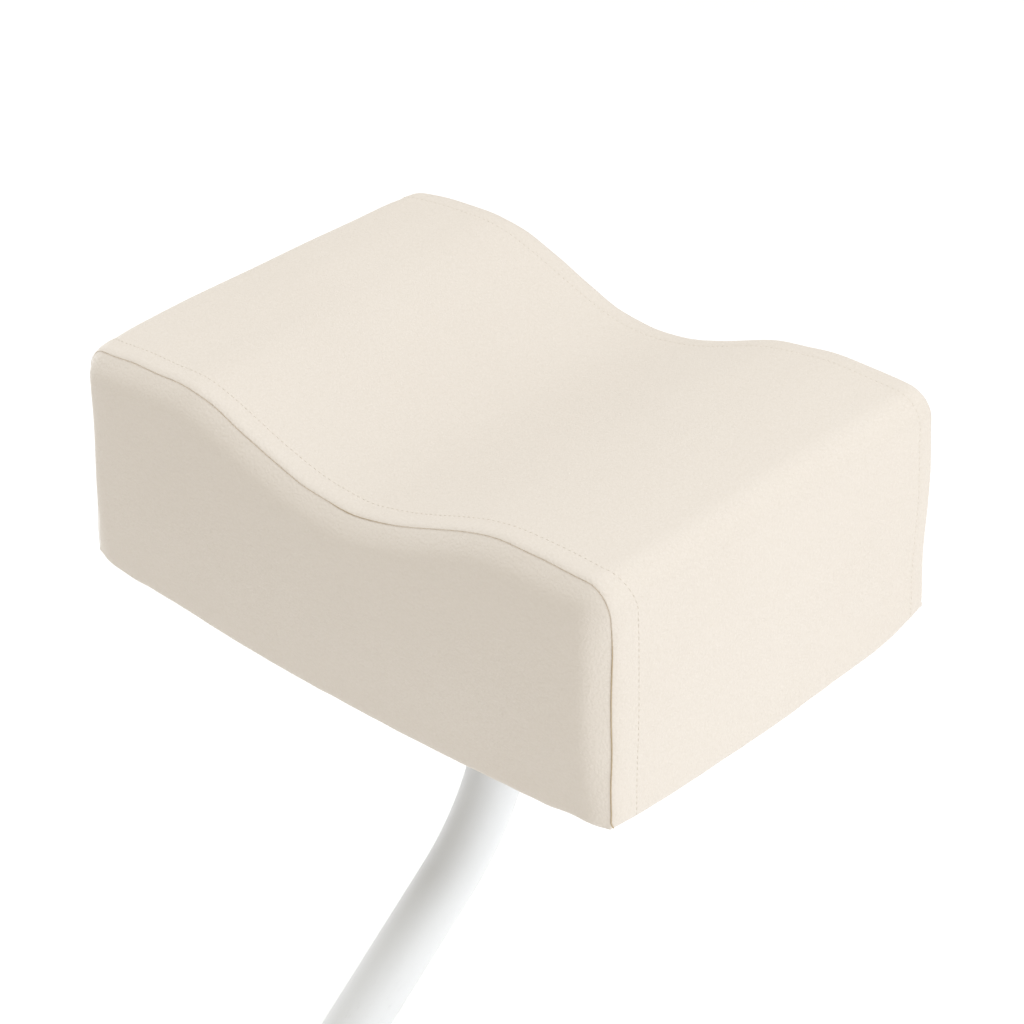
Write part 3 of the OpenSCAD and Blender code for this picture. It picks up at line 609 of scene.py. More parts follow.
# How each corner (x sign, y sign) sits: pulled in at its top and base, then lifted at its top and base
CORNERS = {(1, -1): (0.0, 0.0, 0.0, 0.0010), (-1, -1): (0.0022, -0.0014, 0.0, 0.0064),
           (1, 1): (-0.0004, 0.0002, -0.0006, 0.0050), (-1, 1): (0.0018, 0.0010, -0.0012, 0.0035)}
CORNER_REACH = 0.020
# How low the base edges hang between the corners
FRONT_SAG = 0.0056
SIDE_SAG = 0.0045
# The height up to which the base's own moves fade, and the strips inside its edges that they fade over
BASE_BAND = 0.040
SIDE_STRIP, END_STRIP = (0.003, 0.014), (0.003, 0.0105)
# Where the front base edge is drawn up: middle, half width and height
DRAWN_UP = ((-0.135, 0.045, 0.0026), (0.160, 0.011, 0.0018))
# How the top departs from its pattern: its trough lies to one side, its right hump leans, its ends rise,
# its front has a fuller flank and its left side falls
TROUGH_SHIFT, BACK_SHIFT = 0.0035, 0.0005
HUMP_LEAN, LEAN_SPAN = 0.0011, (0.0, 0.06)
FRONT_RISE, BACK_RISE = 0.0012, 0.0008
FRONT_FLANK, FLANK_STARTS, FLANK_ENDS = 0.0018, (-0.120, -0.095), (-0.005, 0.020)
LEFT_FALL, FALL_SPAN = 0.0022, (0.135, 0.175)
# Rises and falls of the top towards its rear end: middle, half width and height
BACK_BUMPS = ((-0.012, 0.075, -0.0016), (-0.084, 0.045, 0.0017), (0.108, 0.016, -0.0016))
# Heights between which the top's moves and those of the corners' tops set in
TOP_SETS_IN, CORNER_SETS_IN, LIFT_SETS_IN = (0.02, 0.10), (0.0, 0.110), (0.090, 0.125)
# The seam's slack stretches on the far right edge: middle and half height of each, and how far it stands out
SLACK = ((0.080, 0.024, 0.0020), (0.006, 0.020, 0.0024))
SLACK_REACH = 0.030
# How far the seam wanders, the base edge ripples and the faces are uneven
SEAM_WANDER, WANDER_REACH = 0.00035, 0.005
FINE_RIPPLE, LONG_RIPPLE = 0.00018, 0.0003
UNEVENNESS = 0.00035


def near_corner(x, y, sx, sy):
    """1 at a corner of the cushion's plan, falling off round it."""
    return bell(np.hypot(x - sx * PAD_X / 2, y - sy * PAD_Y / 2), 0, CORNER_REACH)


def settle(points, off_seam):
    """Moves points as the real cushion departs from its pattern: its base edges hang low between the
    corners, the corners are pulled in and lifted, the seam wanders and the faces are slightly uneven."""
    moved = points.copy()
    x, y, z = points[..., 0], points[..., 1], points[..., 2]
    low = 1 - smooth_step(z, 0.0, BASE_BAND)
    side_edge = 1 - smooth_step(PAD_X / 2 - np.abs(x), *SIDE_STRIP)
    end_edge = 1 - smooth_step(PAD_Y / 2 - np.abs(y), *END_STRIP)
    end_bow = np.maximum(1 - (2 * x / PAD_X) ** 2, 0) ** 1.5 * (1 + 0.6 * x / PAD_X) * FRONT_SAG
    for middle, half, height in DRAWN_UP:
        end_bow = end_bow - height * bell(x, middle, half) * (y < 0)
    side_bow = np.maximum(1 - (2 * y / PAD_Y) ** 2, 0) * SIDE_SAG
    moved[..., 2] -= (end_bow * end_edge + side_bow * side_edge) * low
    back = np.clip(0.5 + y / PAD_Y, 0, 1)
    shift = TROUGH_SHIFT + (BACK_SHIFT - TROUGH_SHIFT) * back
    skew = dip_z(x - shift) - dip_z(x) - HUMP_LEAN * smooth_step(x, *LEAN_SPAN)
    skew += FRONT_FLANK * (1 - back) * smooth_step(x, *FLANK_STARTS) * (1 - smooth_step(x, *FLANK_ENDS))
    skew += FRONT_RISE * (1 - back) + BACK_RISE * back - LEFT_FALL * smooth_step(-x, *FALL_SPAN)
    for middle, half, height in BACK_BUMPS:
        skew += height * bell(x, middle, half) * back
    moved[..., 2] += skew * smooth_step(z, *TOP_SETS_IN)
    wander = wobble(points, 41, 0.024) * SEAM_WANDER * bell(off_seam, 0, WANDER_REACH)
    moved[..., 1] += wander * smooth_step(z, 0.004, 0.010)
    far_edge = bell(np.hypot(x - PAD_X / 2, y - PAD_Y / 2), 0, SLACK_REACH)
    for middle, half, out in SLACK:
        moved[..., 1] += out * far_edge * bell(z, middle, half)
    for (sx, sy), (top, base, top_lift, base_lift) in CORNERS.items():
        near = near_corner(x, y, sx, sy)
        pull = near * (base + (top - base) * smooth_step(z, *CORNER_SETS_IN))
        moved[..., 0] -= sx * pull
        moved[..., 1] -= sy * pull
        moved[..., 2] += near * (base_lift * low + top_lift * smooth_step(z, *LIFT_SETS_IN))
    ripple = wobble(points * [1, 1, 0.2], 5, 0.018) * FINE_RIPPLE + wobble(points, 6, 0.060) * LONG_RIPPLE
    moved[..., 2] += ripple * low * np.maximum(side_edge, end_edge)
    for axis, seed in ((0, 21), (1, 22), (2, 23)):
        moved[..., axis] += wobble(points, seed, 0.070) * UNEVENNESS * smooth_step(z, 0.0, 0.02)
    return moved


# The cushion's cover

# Where the fine grid's lines lie: shares of the side's height down from the top, and distances from the seam
SHARES_DOWN = [1.0, 0.9955, 0.99, 0.982, 0.971, 0.956, 0.937, 0.912, 0.88, 0.84]
SEAM_STEPS = [0.0, 0.0004, 0.0009, 0.0015, 0.0022, 0.0032, 0.0046, 0.0064, 0.0084, 0.0102, STITCH_LINE,
              0.0128, 0.0148, 0.018, 0.0225, 0.028]
SIM_INSET, SIM_FRAMES = 0.0010, 20
# On an end panel: where the swell has set in, and how far from the seam the panel follows the wrap's edge
SWELL_SETS_IN, SHIFT_REACH = 0.012, 0.024
# The tan seam bead, which is both the seam's thread and painted shade of the seam's groove: how far over and
# beyond the edge at each end, its radius, and what that gains upright
THREAD_PLACE = {-1: (0.00016, 0.00018), 1: (-0.00035, 0.00040)}
THREAD_R, THREAD_GAIN, GAIN_ENDS = 0.00008, 0.00020, (0.095, 0.120)
REAR_STITCHES_SUNK = 0.00012
ENDS = ((-1, "front"), (1, "rear"))


def fine_grid():
    shares = SHARES_DOWN + list(np.linspace(0.79, 0.0, 19))
    stations = half_stations(top_count=42, arc_count=9, shares=shares, edge_count=4, hem_count=6)
    ends = [PAD_Y / 2 - s for s in SEAM_STEPS] + list(np.linspace(PAD_Y / 2 - 0.034, 0, 15))
    return stations, np.array([-v for v in ends] + ends[-2::-1]) / (PAD_Y / 2)


def coarse_grid():
    shares = list(np.linspace(1, 0, 20))
    stations = half_stations(top_count=27, arc_count=4, shares=shares, edge_count=2, hem_count=4)
    return stations, np.linspace(-1, 1, 41)


def path_lengths(points):
    steps = np.linalg.norm(np.diff(points, axis=0), axis=1)
    return np.concatenate([[0], np.cumsum(steps)]) / steps.sum()


def per_shape(flat, shapes):
    """A flat array cut into one grid for each shape."""
    ends = np.cumsum([shape.shape[0] * shape.shape[1] for shape in shapes])
    return [part.reshape(shape.shape[:2]) for part, shape in zip(np.split(flat, ends), shapes)]


def simulate_cover():
    """Inflates the sewn cover over its foam and returns how far each point of the coarse grids moved."""
    stations, alongs = coarse_grid()
    wrap = wrap_points(stations, alongs)
    panels = {side: panel_points(stations, side) for side in (-1, 1)}
    shapes = [wrap, panels[-1], panels[1]]
    start = np.concatenate([s.reshape(-1, 3) for s in shapes])
    inset = np.concatenate([(grid_normals(s) * SIM_INSET).reshape(-1, 3) for s in shapes])
    keys = {}
    index = np.zeros(len(start), int)
    kept = []
    for i, p in enumerate(start):
        key = tuple(np.round(p, 6))
        if key not in keys:
            keys[key] = len(kept)
            kept.append(i)
        index[i] = keys[key]
    faces = [face for numbers in per_shape(index, shapes) for face in grid_faces(numbers)]
    mesh = bpy.data.meshes.new("cover_trial")
    mesh.from_pydata([tuple(p) for p in start[kept] - inset[kept]], [], faces)
    obj = bpy.data.objects.new("cover_trial", mesh)
    bpy.context.collection.objects.link(obj)
    bm = bmesh.new()
    bm.from_mesh(mesh)
    bmesh.ops.recalc_face_normals(bm, faces=bm.faces)
    bm.to_mesh(mesh)
    bm.free()
    on_seam = {tuple(np.round(p, 6)) for side in (-1, 1) for p in outline_of(panels[side])}
    pin = obj.vertex_groups.new(name="pin")
    held = [k for k, i in enumerate(kept)
            if start[i][2] < BASE_R * 0.9 or tuple(np.round(start[i], 6)) in on_seam]
    pin.add(held, 1.0, "REPLACE")
    cloth = obj.modifiers.new("cloth", "CLOTH")
    settings = cloth.settings
    settings.quality = 6
    settings.mass = 0.4
    settings.tension_stiffness = settings.compression_stiffness = 18
    settings.shear_stiffness = 8
    settings.bending_stiffness = 1.2
    settings.use_pressure = True
    settings.uniform_pressure_force = 4
    settings.vertex_group_mass = "pin"
    settings.effector_weights.gravity = 0
    cloth.collision_settings.use_collision = False
    scene = bpy.context.scene
    cloth.point_cache.frame_start, cloth.point_cache.frame_end = 1, SIM_FRAMES
    for number in range(1, SIM_FRAMES + 1):
        scene.frame_set(number)
    ready = obj.evaluated_get(bpy.context.evaluated_depsgraph_get()).to_mesh()
    after = np.array([v.co for v in ready.vertices])
    scene.frame_set(1)
    bpy.data.objects.remove(obj)
    outward = inset / np.maximum(np.linalg.norm(inset, axis=1, keepdims=True), 1e-9)
    swell = ((after[index] - (start - inset)) * outward).sum(axis=1)
    swell = np.clip(swell - np.linalg.norm(inset, axis=1), 0, SWELL_CAP)
    swell[np.isin(index, held)] = 0
    return {name: (shape, evened(field))
            for name, shape, field in zip(("wrap", -1, 1), shapes, per_shape(swell, shapes))}


def evened(field, passes=8):
    """A field on a grid with its creases smoothed out. Its rim stays as it is."""
    for _ in range(passes):
        field[1:-1] = (field[:-2] + 2 * field[1:-1] + field[2:]) / 4
        field[:, 1:-1] = (field[:, :-2] + 2 * field[:, 1:-1] + field[:, 2:]) / 4
    return field


def carried(trial, fine):
    """Swell found on a coarse grid, carried over to a fine one by place along its rows and columns."""
    coarse, field = trial
    lengths = [path_lengths(grid[:, grid.shape[1] // 2]) for grid in (coarse, fine)]
    columns = np.stack([np.interp(lengths[1], lengths[0], column) for column in field.T], axis=1)
    lengths = [path_lengths(grid[grid.shape[0] // 2]) for grid in (coarse, fine)]
    return np.stack([np.interp(lengths[1], lengths[0], row) for row in columns])


def seam_profile(a):
    """Height of the wrap at a distance from its seam: doubled up to the topstitch by the seam
    allowance, rolled down towards the seam and dimpled along the stitches."""
    allowance = ALLOWANCE_T * (1 - smooth_step(a, *ALLOWANCE_ENDS))
    roll_off = WIDE_ROLL * fading(a, WIDE_REACH) + SEAM_ROLL * fading(a, SEAM_REACH)
    return allowance - roll_off - NIP * bell(a, 0, NIP_REACH) - DIMPLE * bell(a, STITCH_LINE, DIMPLE_REACH)


def end_bulge(points, d):
    """How far an end panel stands out at points a distance d from its seam."""
    share = 1 - (1 - BASE_CROWN_SHARE) * (1 - smooth_step(points[..., 2], *CROWN_HEIGHTS))
    return END_CROWN * (1 - fading(d, CROWN_REACH)) * share


def cover_shapes():
    """The settled wrap, the two end panels that share its edges, and where the wrap's columns lie."""
    stations, alongs = fine_grid()
    pattern = wrap_points(stations, alongs)
    panels = {side: panel_points(stations, side) for side in (-1, 1)}
    beside = PAD_Y / 2 - np.abs(alongs)[None, :] * PAD_Y / 2
    trial = simulate_cover()
    swells = {name: carried(trial[name], grid) if trial else np.zeros(grid.shape[:2])
              for name, grid in (("wrap", pattern), *panels.items())}
    raised = swells["wrap"] + seam_profile(beside) * upright_share(pattern)
    wrap = pattern + grid_normals(pattern) * raised[..., None]
    away = {}
    for side in (-1, 1):
        panel = panels[side]
        column = 0 if side < 0 else -1
        edge = wrap[:, column]
        away[side], shift = seam_distance(panel, outline_of(panel), edge - pattern[:, column])
        swell = end_bulge(panel, away[side]) + swells[side] * smooth_step(away[side], 0, SWELL_SETS_IN)
        hem = 1 - smooth_step(PAD_Y / 2 - np.abs(panel[..., 1]), BASE_R, BASE_R + HEM_W)
        panel += shift * (fading(away[side], SHIFT_REACH) * upright_share(panel))[..., None]
        panel[..., 1] += side * swell * hem
        rows, columns = panel.shape[:2]
        panel[:-1, 0] = edge[:rows - 1]
        panel[-1, :] = edge[rows - 1:rows - 1 + columns]
        panel[-2::-1, -1] = edge[rows - 1 + columns:]
    off_seam = np.broadcast_to(beside, wrap.shape[:2])
    return settle(wrap, off_seam), {side: settle(panels[side], away[side]) for side in (-1, 1)}, alongs


def upright_share(points):
    return smooth_step(points[..., 2], 0.0, 0.004)


def placed(points):
    return points + np.array([0, AXIS_Y, UNDERSIDE])


def leather_piece(name, points, node):
    across = np.cross(np.gradient(points, axis=0), np.gradient(points, axis=1))
    inward = (across * grid_normals(points)).sum() < 0
    numbers = np.arange(points.shape[0] * points.shape[1]).reshape(points.shape[:2])
    piece = add_piece(name, placed(points).reshape(-1, 3), grid_faces(numbers, flip=not inward), LEATHER,
                      "pad")
    thick = piece.modifiers.new("thickness", "SOLIDIFY")
    thick.thickness, thick.offset = COVER_T, -1.0
    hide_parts(node)


def make_topstitch(name, points, surface):
    """Separate stitches along a line of surface points, each sunk at both ends."""
    lengths = np.concatenate([[0], np.cumsum(np.linalg.norm(np.diff(points, axis=0), axis=1))])
    pitch, length, radius = 0.0034, 0.0027, 0.00021
    height = np.array([-0.00028, 0.00004, 0.00012, 0.00004, -0.00028])
    parts = []
    for k in range(int(lengths[-1] / pitch)):
        spots = k * pitch + length * np.linspace(0, 1, len(height))
        line = np.stack([np.interp(spots, lengths, points[:, i]) for i in range(3)], axis=-1)
        out = np.stack([np.interp(spots, lengths, surface[:, i]) for i in range(3)], axis=-1)
        parts.append(tube_parts(line + out * height[:, None], radius, sides=5))
    verts, faces = joined(parts)
    add_piece(name, verts, faces, TOPSTITCH, "pad")


def make_cover():
    wrap, panels, alongs = cover_shapes()
    leather_piece("cover_wrap_leather", wrap, "cover_wrap")
    for side, word in ENDS:
        leather_piece(f"cover_{word}_panel_leather", panels[side], f"cover_{word}_panel")
    stitch_column = SEAM_STEPS.index(STITCH_LINE)
    normals = grid_normals(wrap)
    shown = slice(7, -7)
    for side, word in ENDS:
        column = stitch_column if side < 0 else len(alongs) - 1 - stitch_column
        sunk = normals[shown, column] * (0 if side < 0 else REAR_STITCHES_SUNK)
        make_topstitch(f"topstitch_{word}", placed(wrap[shown, column] - sunk), normals[shown, column])
        # A tan bead along the seam: its thread, and painted shade where the seam's groove is, thickened down
        # one upright edge of each end
        rim = 0 if side < 0 else -1
        edge = placed(wrap[2:-2, rim])
        above, beyond = THREAD_PLACE[side]
        out = normals[2:-2, rim] * above + np.array([0, side * beyond, 0])
        upright = np.where(edge[:, 0] * -side > 0, 1 - smooth_step(wrap[2:-2, 0, 2], *GAIN_ENDS), 0)
        verts, faces = tube_parts(edge + out, THREAD_R + THREAD_GAIN * upright)
        add_piece(f"seam_thread_and_shade_{word}", verts, faces, SEAM_THREAD_AND_SHADE, "pad")


def make_foam():
    """Cut foam block that fills the cover above the board, a closed form of columns, rows and sections."""
    clear = COVER_T + 0.0016
    base = board_high.z - UNDERSIDE + 0.0003
    arc = np.linspace(0.15, np.pi / 2, 7)
    columns = np.concatenate([-(RUN + CORNER_R * np.sin(arc[::-1])), np.linspace(-RUN, RUN, 37),
                              RUN + CORNER_R * np.sin(arc)])
    rows = np.linspace(0, 1, 11)
    from_end = np.array([0.0006, 0.003, 0.006, 0.011, 0.018, 0.026, 0.036, 0.052, 0.075])
    sections = np.concatenate([-(PAD_Y / 2 - from_end), [0.0], (PAD_Y / 2 - from_end)[::-1]])
    shape = (len(sections), len(columns), len(rows))
    points = np.zeros((*shape, 3))
    for k, y in enumerate(sections):
        roll = max(0.0, -float(seam_profile(PAD_Y / 2 - abs(y))))
        for i, x0 in enumerate(columns):
            crest = float(top_z(x0)) - clear - roll
            z = base + rows * (crest - base)
            points[k, i, :, 0] = x0 * (side_x(z) - clear - roll) / (PAD_X / 2)
            points[k, i, :, 1] = y
            points[k, i, :, 2] = z
    seam = outline_of(panel_points(coarse_grid()[0], 1))
    for side, k in ((-1, 0), (1, -1)):
        away, _ = seam_distance(points[k], seam, np.zeros(seam.shape))
        points[k, ..., 1] = side * (PAD_Y / 2 - clear + end_bulge(points[k], away))
    points = settle(points, np.ones(shape))
    points[..., 2] = np.maximum(points[..., 2], base)
    index = np.arange(np.prod(shape)).reshape(shape)
    faces = []
    for grid, flip in ((index[0], False), (index[-1], True), (index[:, 0], True), (index[:, -1], False),
                       (index[:, :, 0], False), (index[:, :, -1], True)):
        faces += grid_faces(grid, flip)
    used = sorted({i for f in faces for i in f})
    renumber = {old: new for new, old in enumerate(used)}
    piece = add_piece("foam_block", placed(points).reshape(-1, 3)[used],
                      [tuple(renumber[i] for i in f) for f in faces], SLOT_PAINT["foam"], "pad")
    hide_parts("foam_core")


def make_board():
    """Plywood base board with rounded corners, eased where the cover is drawn up round them."""
    half_x, half_y = (board_high.x - board_low.x) / 2, (board_high.y - board_low.y) / 2
    radius, turns = 0.009, 9
    rim = []
    for sx, sy, start in ((1, 1, 0), (-1, 1, 90), (-1, -1, 180), (1, -1, 270)):
        for k in range(turns):
            a = math.radians(start + 90 * k / (turns - 1))
            rim.append(((sx * (half_x - radius), sy * (half_y - radius)), (math.cos(a), math.sin(a))))
    thick = board_high.z - board_low.z
    # Outlines from the underside up: how far inside the board's edge, and how high
    levels = [(0.050, 0.0), (0.0012, 0.0), (0.0003, 0.0004), (0.0, 0.0012),
              (0.0, thick - 0.0008), (0.0006, thick)]
    verts = []
    for inset, height in levels:
        for (x, y), (out_x, out_y) in rim:
            reach = radius - min(inset, radius * 0.8)
            x1, y1 = x + out_x * reach, y + out_y * reach
            if inset > radius:
                x1, y1 = x - math.copysign(inset, x), y - math.copysign(inset, y)
            lift = 0.0
            if height < thick / 2 and inset < radius:
                lift = max(moves[3] * near_corner(x1, y1, *corner) for corner, moves in CORNERS.items())
            verts.append(Vector((x1, AXIS_Y + y1, board_low.z + height + lift)))
    count = len(rim)
    faces = [tuple(range(count))[::-1], tuple(range(len(verts) - count, len(verts)))]
    faces += ring_faces(len(levels), count)
    piece = add_piece("pad_board_eased", verts, faces, SLOT_PAINT["board"], "pad", smooth=False)
    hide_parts("pad_board")


# The pad's underside

WINDOW_GAP = 0.003
CLOTH_T = 0.0006
# How much of the corners' lift the cloth follows
CLOTH_FOLLOWS = 0.55


def cloth_lines(spans):
    """Grid lines along one direction, from (start, end, count) of each span."""
    return sorted({place for span in spans for place in np.round(np.linspace(*span), 6)})


def make_dust_cover():
    """Thin cloth under the board, stapled round its edge and cut out round the bracket."""
    low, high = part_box("dust_cover")
    plate_low, plate_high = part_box("bracket_plate")
    left, right = plate_low.x - WINDOW_GAP, plate_high.x + WINDOW_GAP
    near, far = plate_low.y - WINDOW_GAP, plate_high.y + WINDOW_GAP
    xs = cloth_lines([(low.x, left, 22), (left, right, 21), (right, high.x, 22)])
    ys = cloth_lines([(low.y, near, 11), (near, far, 19), (far, high.y, 11)])
    points = np.zeros((len(ys), len(xs), 3))
    points[..., 0], points[..., 1] = np.meshgrid(xs, ys)
    rim = np.minimum(np.minimum(points[..., 0] - low.x, high.x - points[..., 0]),
                     np.minimum(points[..., 1] - low.y, high.y - points[..., 1]))
    slack = smooth_step(rim, 0.006, 0.03)
    waves = wobble(points * [1, 1, 0], 31, 0.05) * 0.00035
    points[..., 2] = high.z - slack * (0.0004 + waves + 0.00035)
    for corner, (_, _, _, base_lift) in CORNERS.items():
        near_it = near_corner(points[..., 0], points[..., 1] - AXIS_Y, *corner)
        points[..., 2] += CLOTH_FOLLOWS * base_lift * near_it
    faces = []
    for r in range(len(ys) - 1):
        for c in range(len(xs) - 1):
            x, y = (xs[c] + xs[c + 1]) / 2, (ys[r] + ys[r + 1]) / 2
            if left < x < right and near < y < far:
                continue
            a = r * len(xs) + c
            faces.append((a, a + len(xs), a + len(xs) + 1, a + 1))
    piece = add_piece("dust_cover_cloth", points.reshape(-1, 3), faces, SLOT_PAINT["dust_cloth"], "pad")
    bm = bmesh.new()
    bm.from_mesh(piece.data)
    bmesh.ops.delete(bm, geom=[v for v in bm.verts if not v.link_faces], context="VERTS")
    bm.to_mesh(piece.data)
    bm.free()
    thick = piece.modifiers.new("thickness", "SOLIDIFY")
    thick.thickness, thick.offset = CLOTH_T, -1.0
    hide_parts("dust_cover")


# Knobs, caps and welds

def knob_radius(angle, ring_r, lobe_r, lobes=5):
    """Radius of the star's outline at an angle, with soft valleys between its lobes."""
    best = 0.0
    for k in range(lobes):
        away = angle - 2 * math.pi * k / lobes
        across = ring_r * math.sin(away)
        if abs(across) < lobe_r:
            best += max(ring_r * math.cos(away) + math.sqrt(lobe_r ** 2 - across ** 2), 0) ** 14
    hub = ring_r * 1.02
    return (best + hub ** 14) ** (1 / 14)


def star_knob_parts(start):
    """Star knob along +X from its collar's face, with rounded edges and a capped middle."""
    turns = 120
    angles = [2 * math.pi * k / turns for k in range(turns)]
    star = [knob_radius(a, 0.0165, 0.0085) for a in angles]
    top, base, dome_r = 0.027, 0.005, 0.062
    face = lambda r: top - dome_r + math.sqrt(dome_r ** 2 - r * r)
    # The collar: distance along and radius
    rings = [[step] * turns for step in ((0.0004, 0.0112), (0.0, 0.0116), (0.0005, 0.012), (0.0042, 0.012),
                                         (0.0050, 0.0128))]
    # The star's lower and upper edge: height from its base or drop from its face, and distance inside it
    for drop, out in ((0.0, 0.0030), (0.0004, 0.0014), (0.0014, 0.0004), (0.0030, 0.0)):
        rings.append([(base + drop, r - out) for r in star])
    for drop, out in ((0.0034, 0.0), (0.0016, 0.0004), (0.0005, 0.0013), (0.0, 0.0028)):
        rings.append([(face(r - out) - drop, r - out) for r in star])
    # The cap in its groove: radius, and height over the domed face
    for r, rise in ((0.0125, 0), (0.0119, 0), (0.0117, -0.0009), (0.0111, -0.0009), (0.0109, 0.0002),
                    (0.0102, 0.0005), (0.005, 0.0008)):
        rings.append([(face(r) + rise, r)] * turns)
    verts = [start + Vector((along, r * math.cos(a), r * math.sin(a)))
             for ring in rings for a, (along, r) in zip(angles, ring)]
    faces = ring_faces(len(rings), turns)
    verts.append(start + Vector((face(0) + 0.0009, 0, 0)))
    verts.append(start + Vector((0.0012, 0, 0)))
    last = (len(rings) - 1) * turns
    for k in range(turns):
        faces.append((last + k, last + (k + 1) % turns, len(verts) - 2))
        faces.append(((k + 1) % turns, k, len(verts) - 1))
    return verts, faces


def make_knobs():
    stud_low, stud_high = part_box("clamp_stud")
    for node, middle in (("tilt_knob", PIVOT), ("clamp_knob", (stud_low + stud_high) / 2)):
        low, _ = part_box(node)
        verts, faces = star_knob_parts(Vector((low.x, middle.y, middle.z)))
        piece = add_piece(node + "_moulding", verts, faces, BLACK, body_of[node])
        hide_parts(node)


def make_end_caps():
    low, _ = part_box("rail_end_caps")
    head = 0.003
    # Distance into the tube and radius, from the plug's end to the middle of the head
    profile = [(0.019, 0.0), (0.019, 0.0160), (0.018, 0.0172), (0.0, 0.0174), (0.0, 0.0186),
               (-0.0008, 0.0190), (-0.0018, 0.0188), (-0.0026, 0.0178), (-head, 0.0155), (-head, 0.0120),
               (-0.0024, 0.0112), (-0.0024, 0.0060), (-0.0024, 0.0)]
    verts, faces = joined(lathe_parts(profile, Vector((x, low.y + head, CROSS.z)))
                          for x in (-RAIL_GAUGE / 2, RAIL_GAUGE / 2))
    piece = add_piece("rail_end_cap_mouldings", verts, faces, BLACK, "base")
    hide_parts("rail_end_caps")


def ring_points(make, count=160):
    return [make(2 * math.pi * k / count) for k in range(count)]


def weld(name, lines, body, radius=0.0021, closed=True):
    """A painted weld bead along each line of points."""
    verts, faces = joined(tube_parts(line, radius, sides=8, closed=closed, ripple=0.13) for line in lines)
    add_piece(name, verts, faces, COAT, body)


# Where the arm's bend ends
BEND_END = PIVOT + Vector((0, -0.052, -0.134))
# The clamp's and the guide's boss: distance down the arm from its bend, radius and side
BOSSES = ((0.162, 0.010, 1), (0.235, 0.008, -1))
# Edges of the sleeve's cheeks: distance from the middle plane, half width, and where they start and end
CHEEK_X, CHEEK_HALF, CHEEK_SPAN = 0.0180, 0.0092, (0.024, 0.094)


def straight(a, b, step=0.0006):
    """Evenly spaced points from a to b."""
    count = max(2, int((b - a).length / step))
    return [a.lerp(b, k / count) for k in range(count + 1)]


def make_welds():
    weld("weld_arm_boss", [ring_points(lambda a: PIVOT + Vector(
        (ARM_R * math.cos(a), ARM_R * math.sin(a), -abs(ARM_R * math.cos(a)))))], "arm", 0.0019)
    lines = []
    for sign in (-1, 1):
        leg = Vector((sign * RAIL_GAUGE / 2, CROSS.y, CROSS.z))
        lines.append(ring_points(lambda a: leg + Vector(
            (-sign * abs(RAIL_R * math.sin(a)), RAIL_R * math.sin(a), RAIL_R * math.cos(a)))))
    weld("weld_cross_tube", lines, "base")
    weld("weld_sleeve_foot", [ring_points(lambda a: CROSS + ACROSS * (RAIL_R * math.cos(a)) + ARM_SIDE * (
        RAIL_R * math.sin(a)) + ARM_UP * abs(RAIL_R * math.cos(a)))], "base")
    cheek_low, cheek_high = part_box("sleeve_cheeks")
    reach = 0.0194
    lines = [ring_points(lambda a: Vector(
        (x, CROSS.y + reach * math.cos(a), CROSS.z + reach * math.sin(a))), 120)
             for x in (cheek_low.x - 0.0004, cheek_high.x + 0.0004)]
    weld("weld_cheek_rings", lines, "base", 0.0022)
    lines = [straight(*(CROSS + ACROSS * x + ARM_SIDE * b + ARM_UP * s for s in CHEEK_SPAN))
             for x in (-CHEEK_X, CHEEK_X) for b in (-CHEEK_HALF, CHEEK_HALF)]
    weld("weld_cheek_sides", lines, "base", 0.0020, closed=False)
    lines = []
    for s, r, sign in BOSSES:
        middle = BEND_END - ARM_UP * s
        lines.append(ring_points(lambda a: middle + ARM_SIDE * (r * math.cos(a)) + ARM_UP * (r * math.sin(a))
                                 + ACROSS * (sign * math.sqrt(RAIL_R ** 2 - (r * math.cos(a)) ** 2)), 96))
    weld("weld_bosses", lines, "base", 0.0017)
    ear_low, ear_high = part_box("bracket_ears")
    plate_low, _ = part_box("bracket_plate")
    short = 0.004
    lines = [straight(*(Vector((x, y, plate_low.z)) for y in (ear_low.y + short, ear_high.y - short)))
             for x in (ear_low.x, ear_high.x)]
    weld("weld_bracket", lines, "pad", 0.0019, closed=False)


# The room

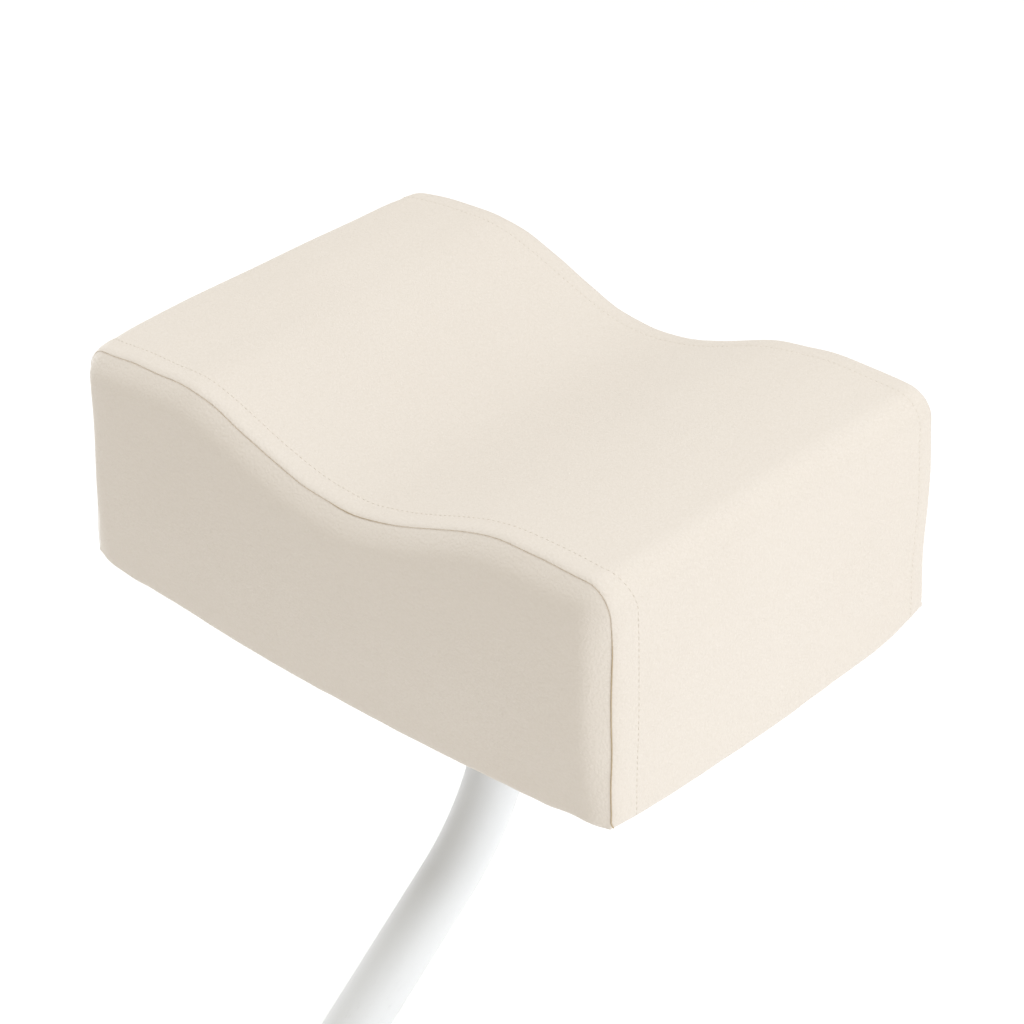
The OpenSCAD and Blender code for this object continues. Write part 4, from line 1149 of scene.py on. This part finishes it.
def make_floor():
    size = 6.0
    mesh = bpy.data.meshes.new("floor")
    corners = [(-size, -size, 0), (size, -size, 0), (size, size, 0), (-size, size, 0)]
    mesh.from_pydata(corners, [], [(0, 1, 2, 3)])
    obj = bpy.data.objects.new("floor", mesh)
    bpy.context.collection.objects.link(obj)
    mesh.materials.append(floor_paint())


WORLD_COLOR, WORLD_LIGHT = (1.0, 0.948, 0.836), 0.500
LAMP_COLOR = (0.885, 0.936, 1.0)
BOX_SIZE = 2.4
# Each soft box: place from the cushion's underside, and power
SOFT_BOXES = {"right_box": ((2.6, 0.0, 0.5), 33.8), "top_box": ((0.0, 0.0, 2.6), 40.8),
              "left_box": ((-2.6, 0.0, 0.5), 24.0), "back_box": ((0.0, 2.6, 0.9), 11.0)}


def add_soft_box(name, place, power):
    data = bpy.data.lights.new(name, "AREA")
    data.shape, data.size, data.energy, data.color = "SQUARE", BOX_SIZE, power, LAMP_COLOR
    obj = bpy.data.objects.new(name, data)
    bpy.context.collection.objects.link(obj)
    obj.location = place
    toward = Vector((0, AXIS_Y, UNDERSIDE)) - Vector(place)
    obj.rotation_mode = "QUATERNION"
    obj.rotation_quaternion = toward.to_track_quat("-Z", "Y")


def make_light():
    world = bpy.data.worlds.new("studio")
    bpy.context.scene.world = world
    world.use_nodes = True
    background = world.node_tree.nodes["Background"]
    background.inputs["Color"].default_value = (*WORLD_COLOR, 1)
    background.inputs["Strength"].default_value = WORLD_LIGHT
    centre = Vector((0, AXIS_Y, UNDERSIDE))
    for name, (toward, power) in SOFT_BOXES.items():
        add_soft_box(name, centre + Vector(toward), power)
    bpy.context.scene.view_settings.view_transform = "Standard"


# Putting it together

paint_nodes()
make_cover()
make_foam()
make_board()
make_dust_cover()
for node_name, width in (("bracket_plate", 0.0010), ("bracket_ears", 0.0008), ("sleeve_cheeks", 0.0007),
                         ("pivot_boss", 0.0006), ("clamp_boss", 0.0006), ("guide_boss", 0.0006),
                         ("rubber_feet", 0.0012)):
    softened(node_name, width)
make_knobs()
make_end_caps()
make_welds()
make_floor()
make_light()
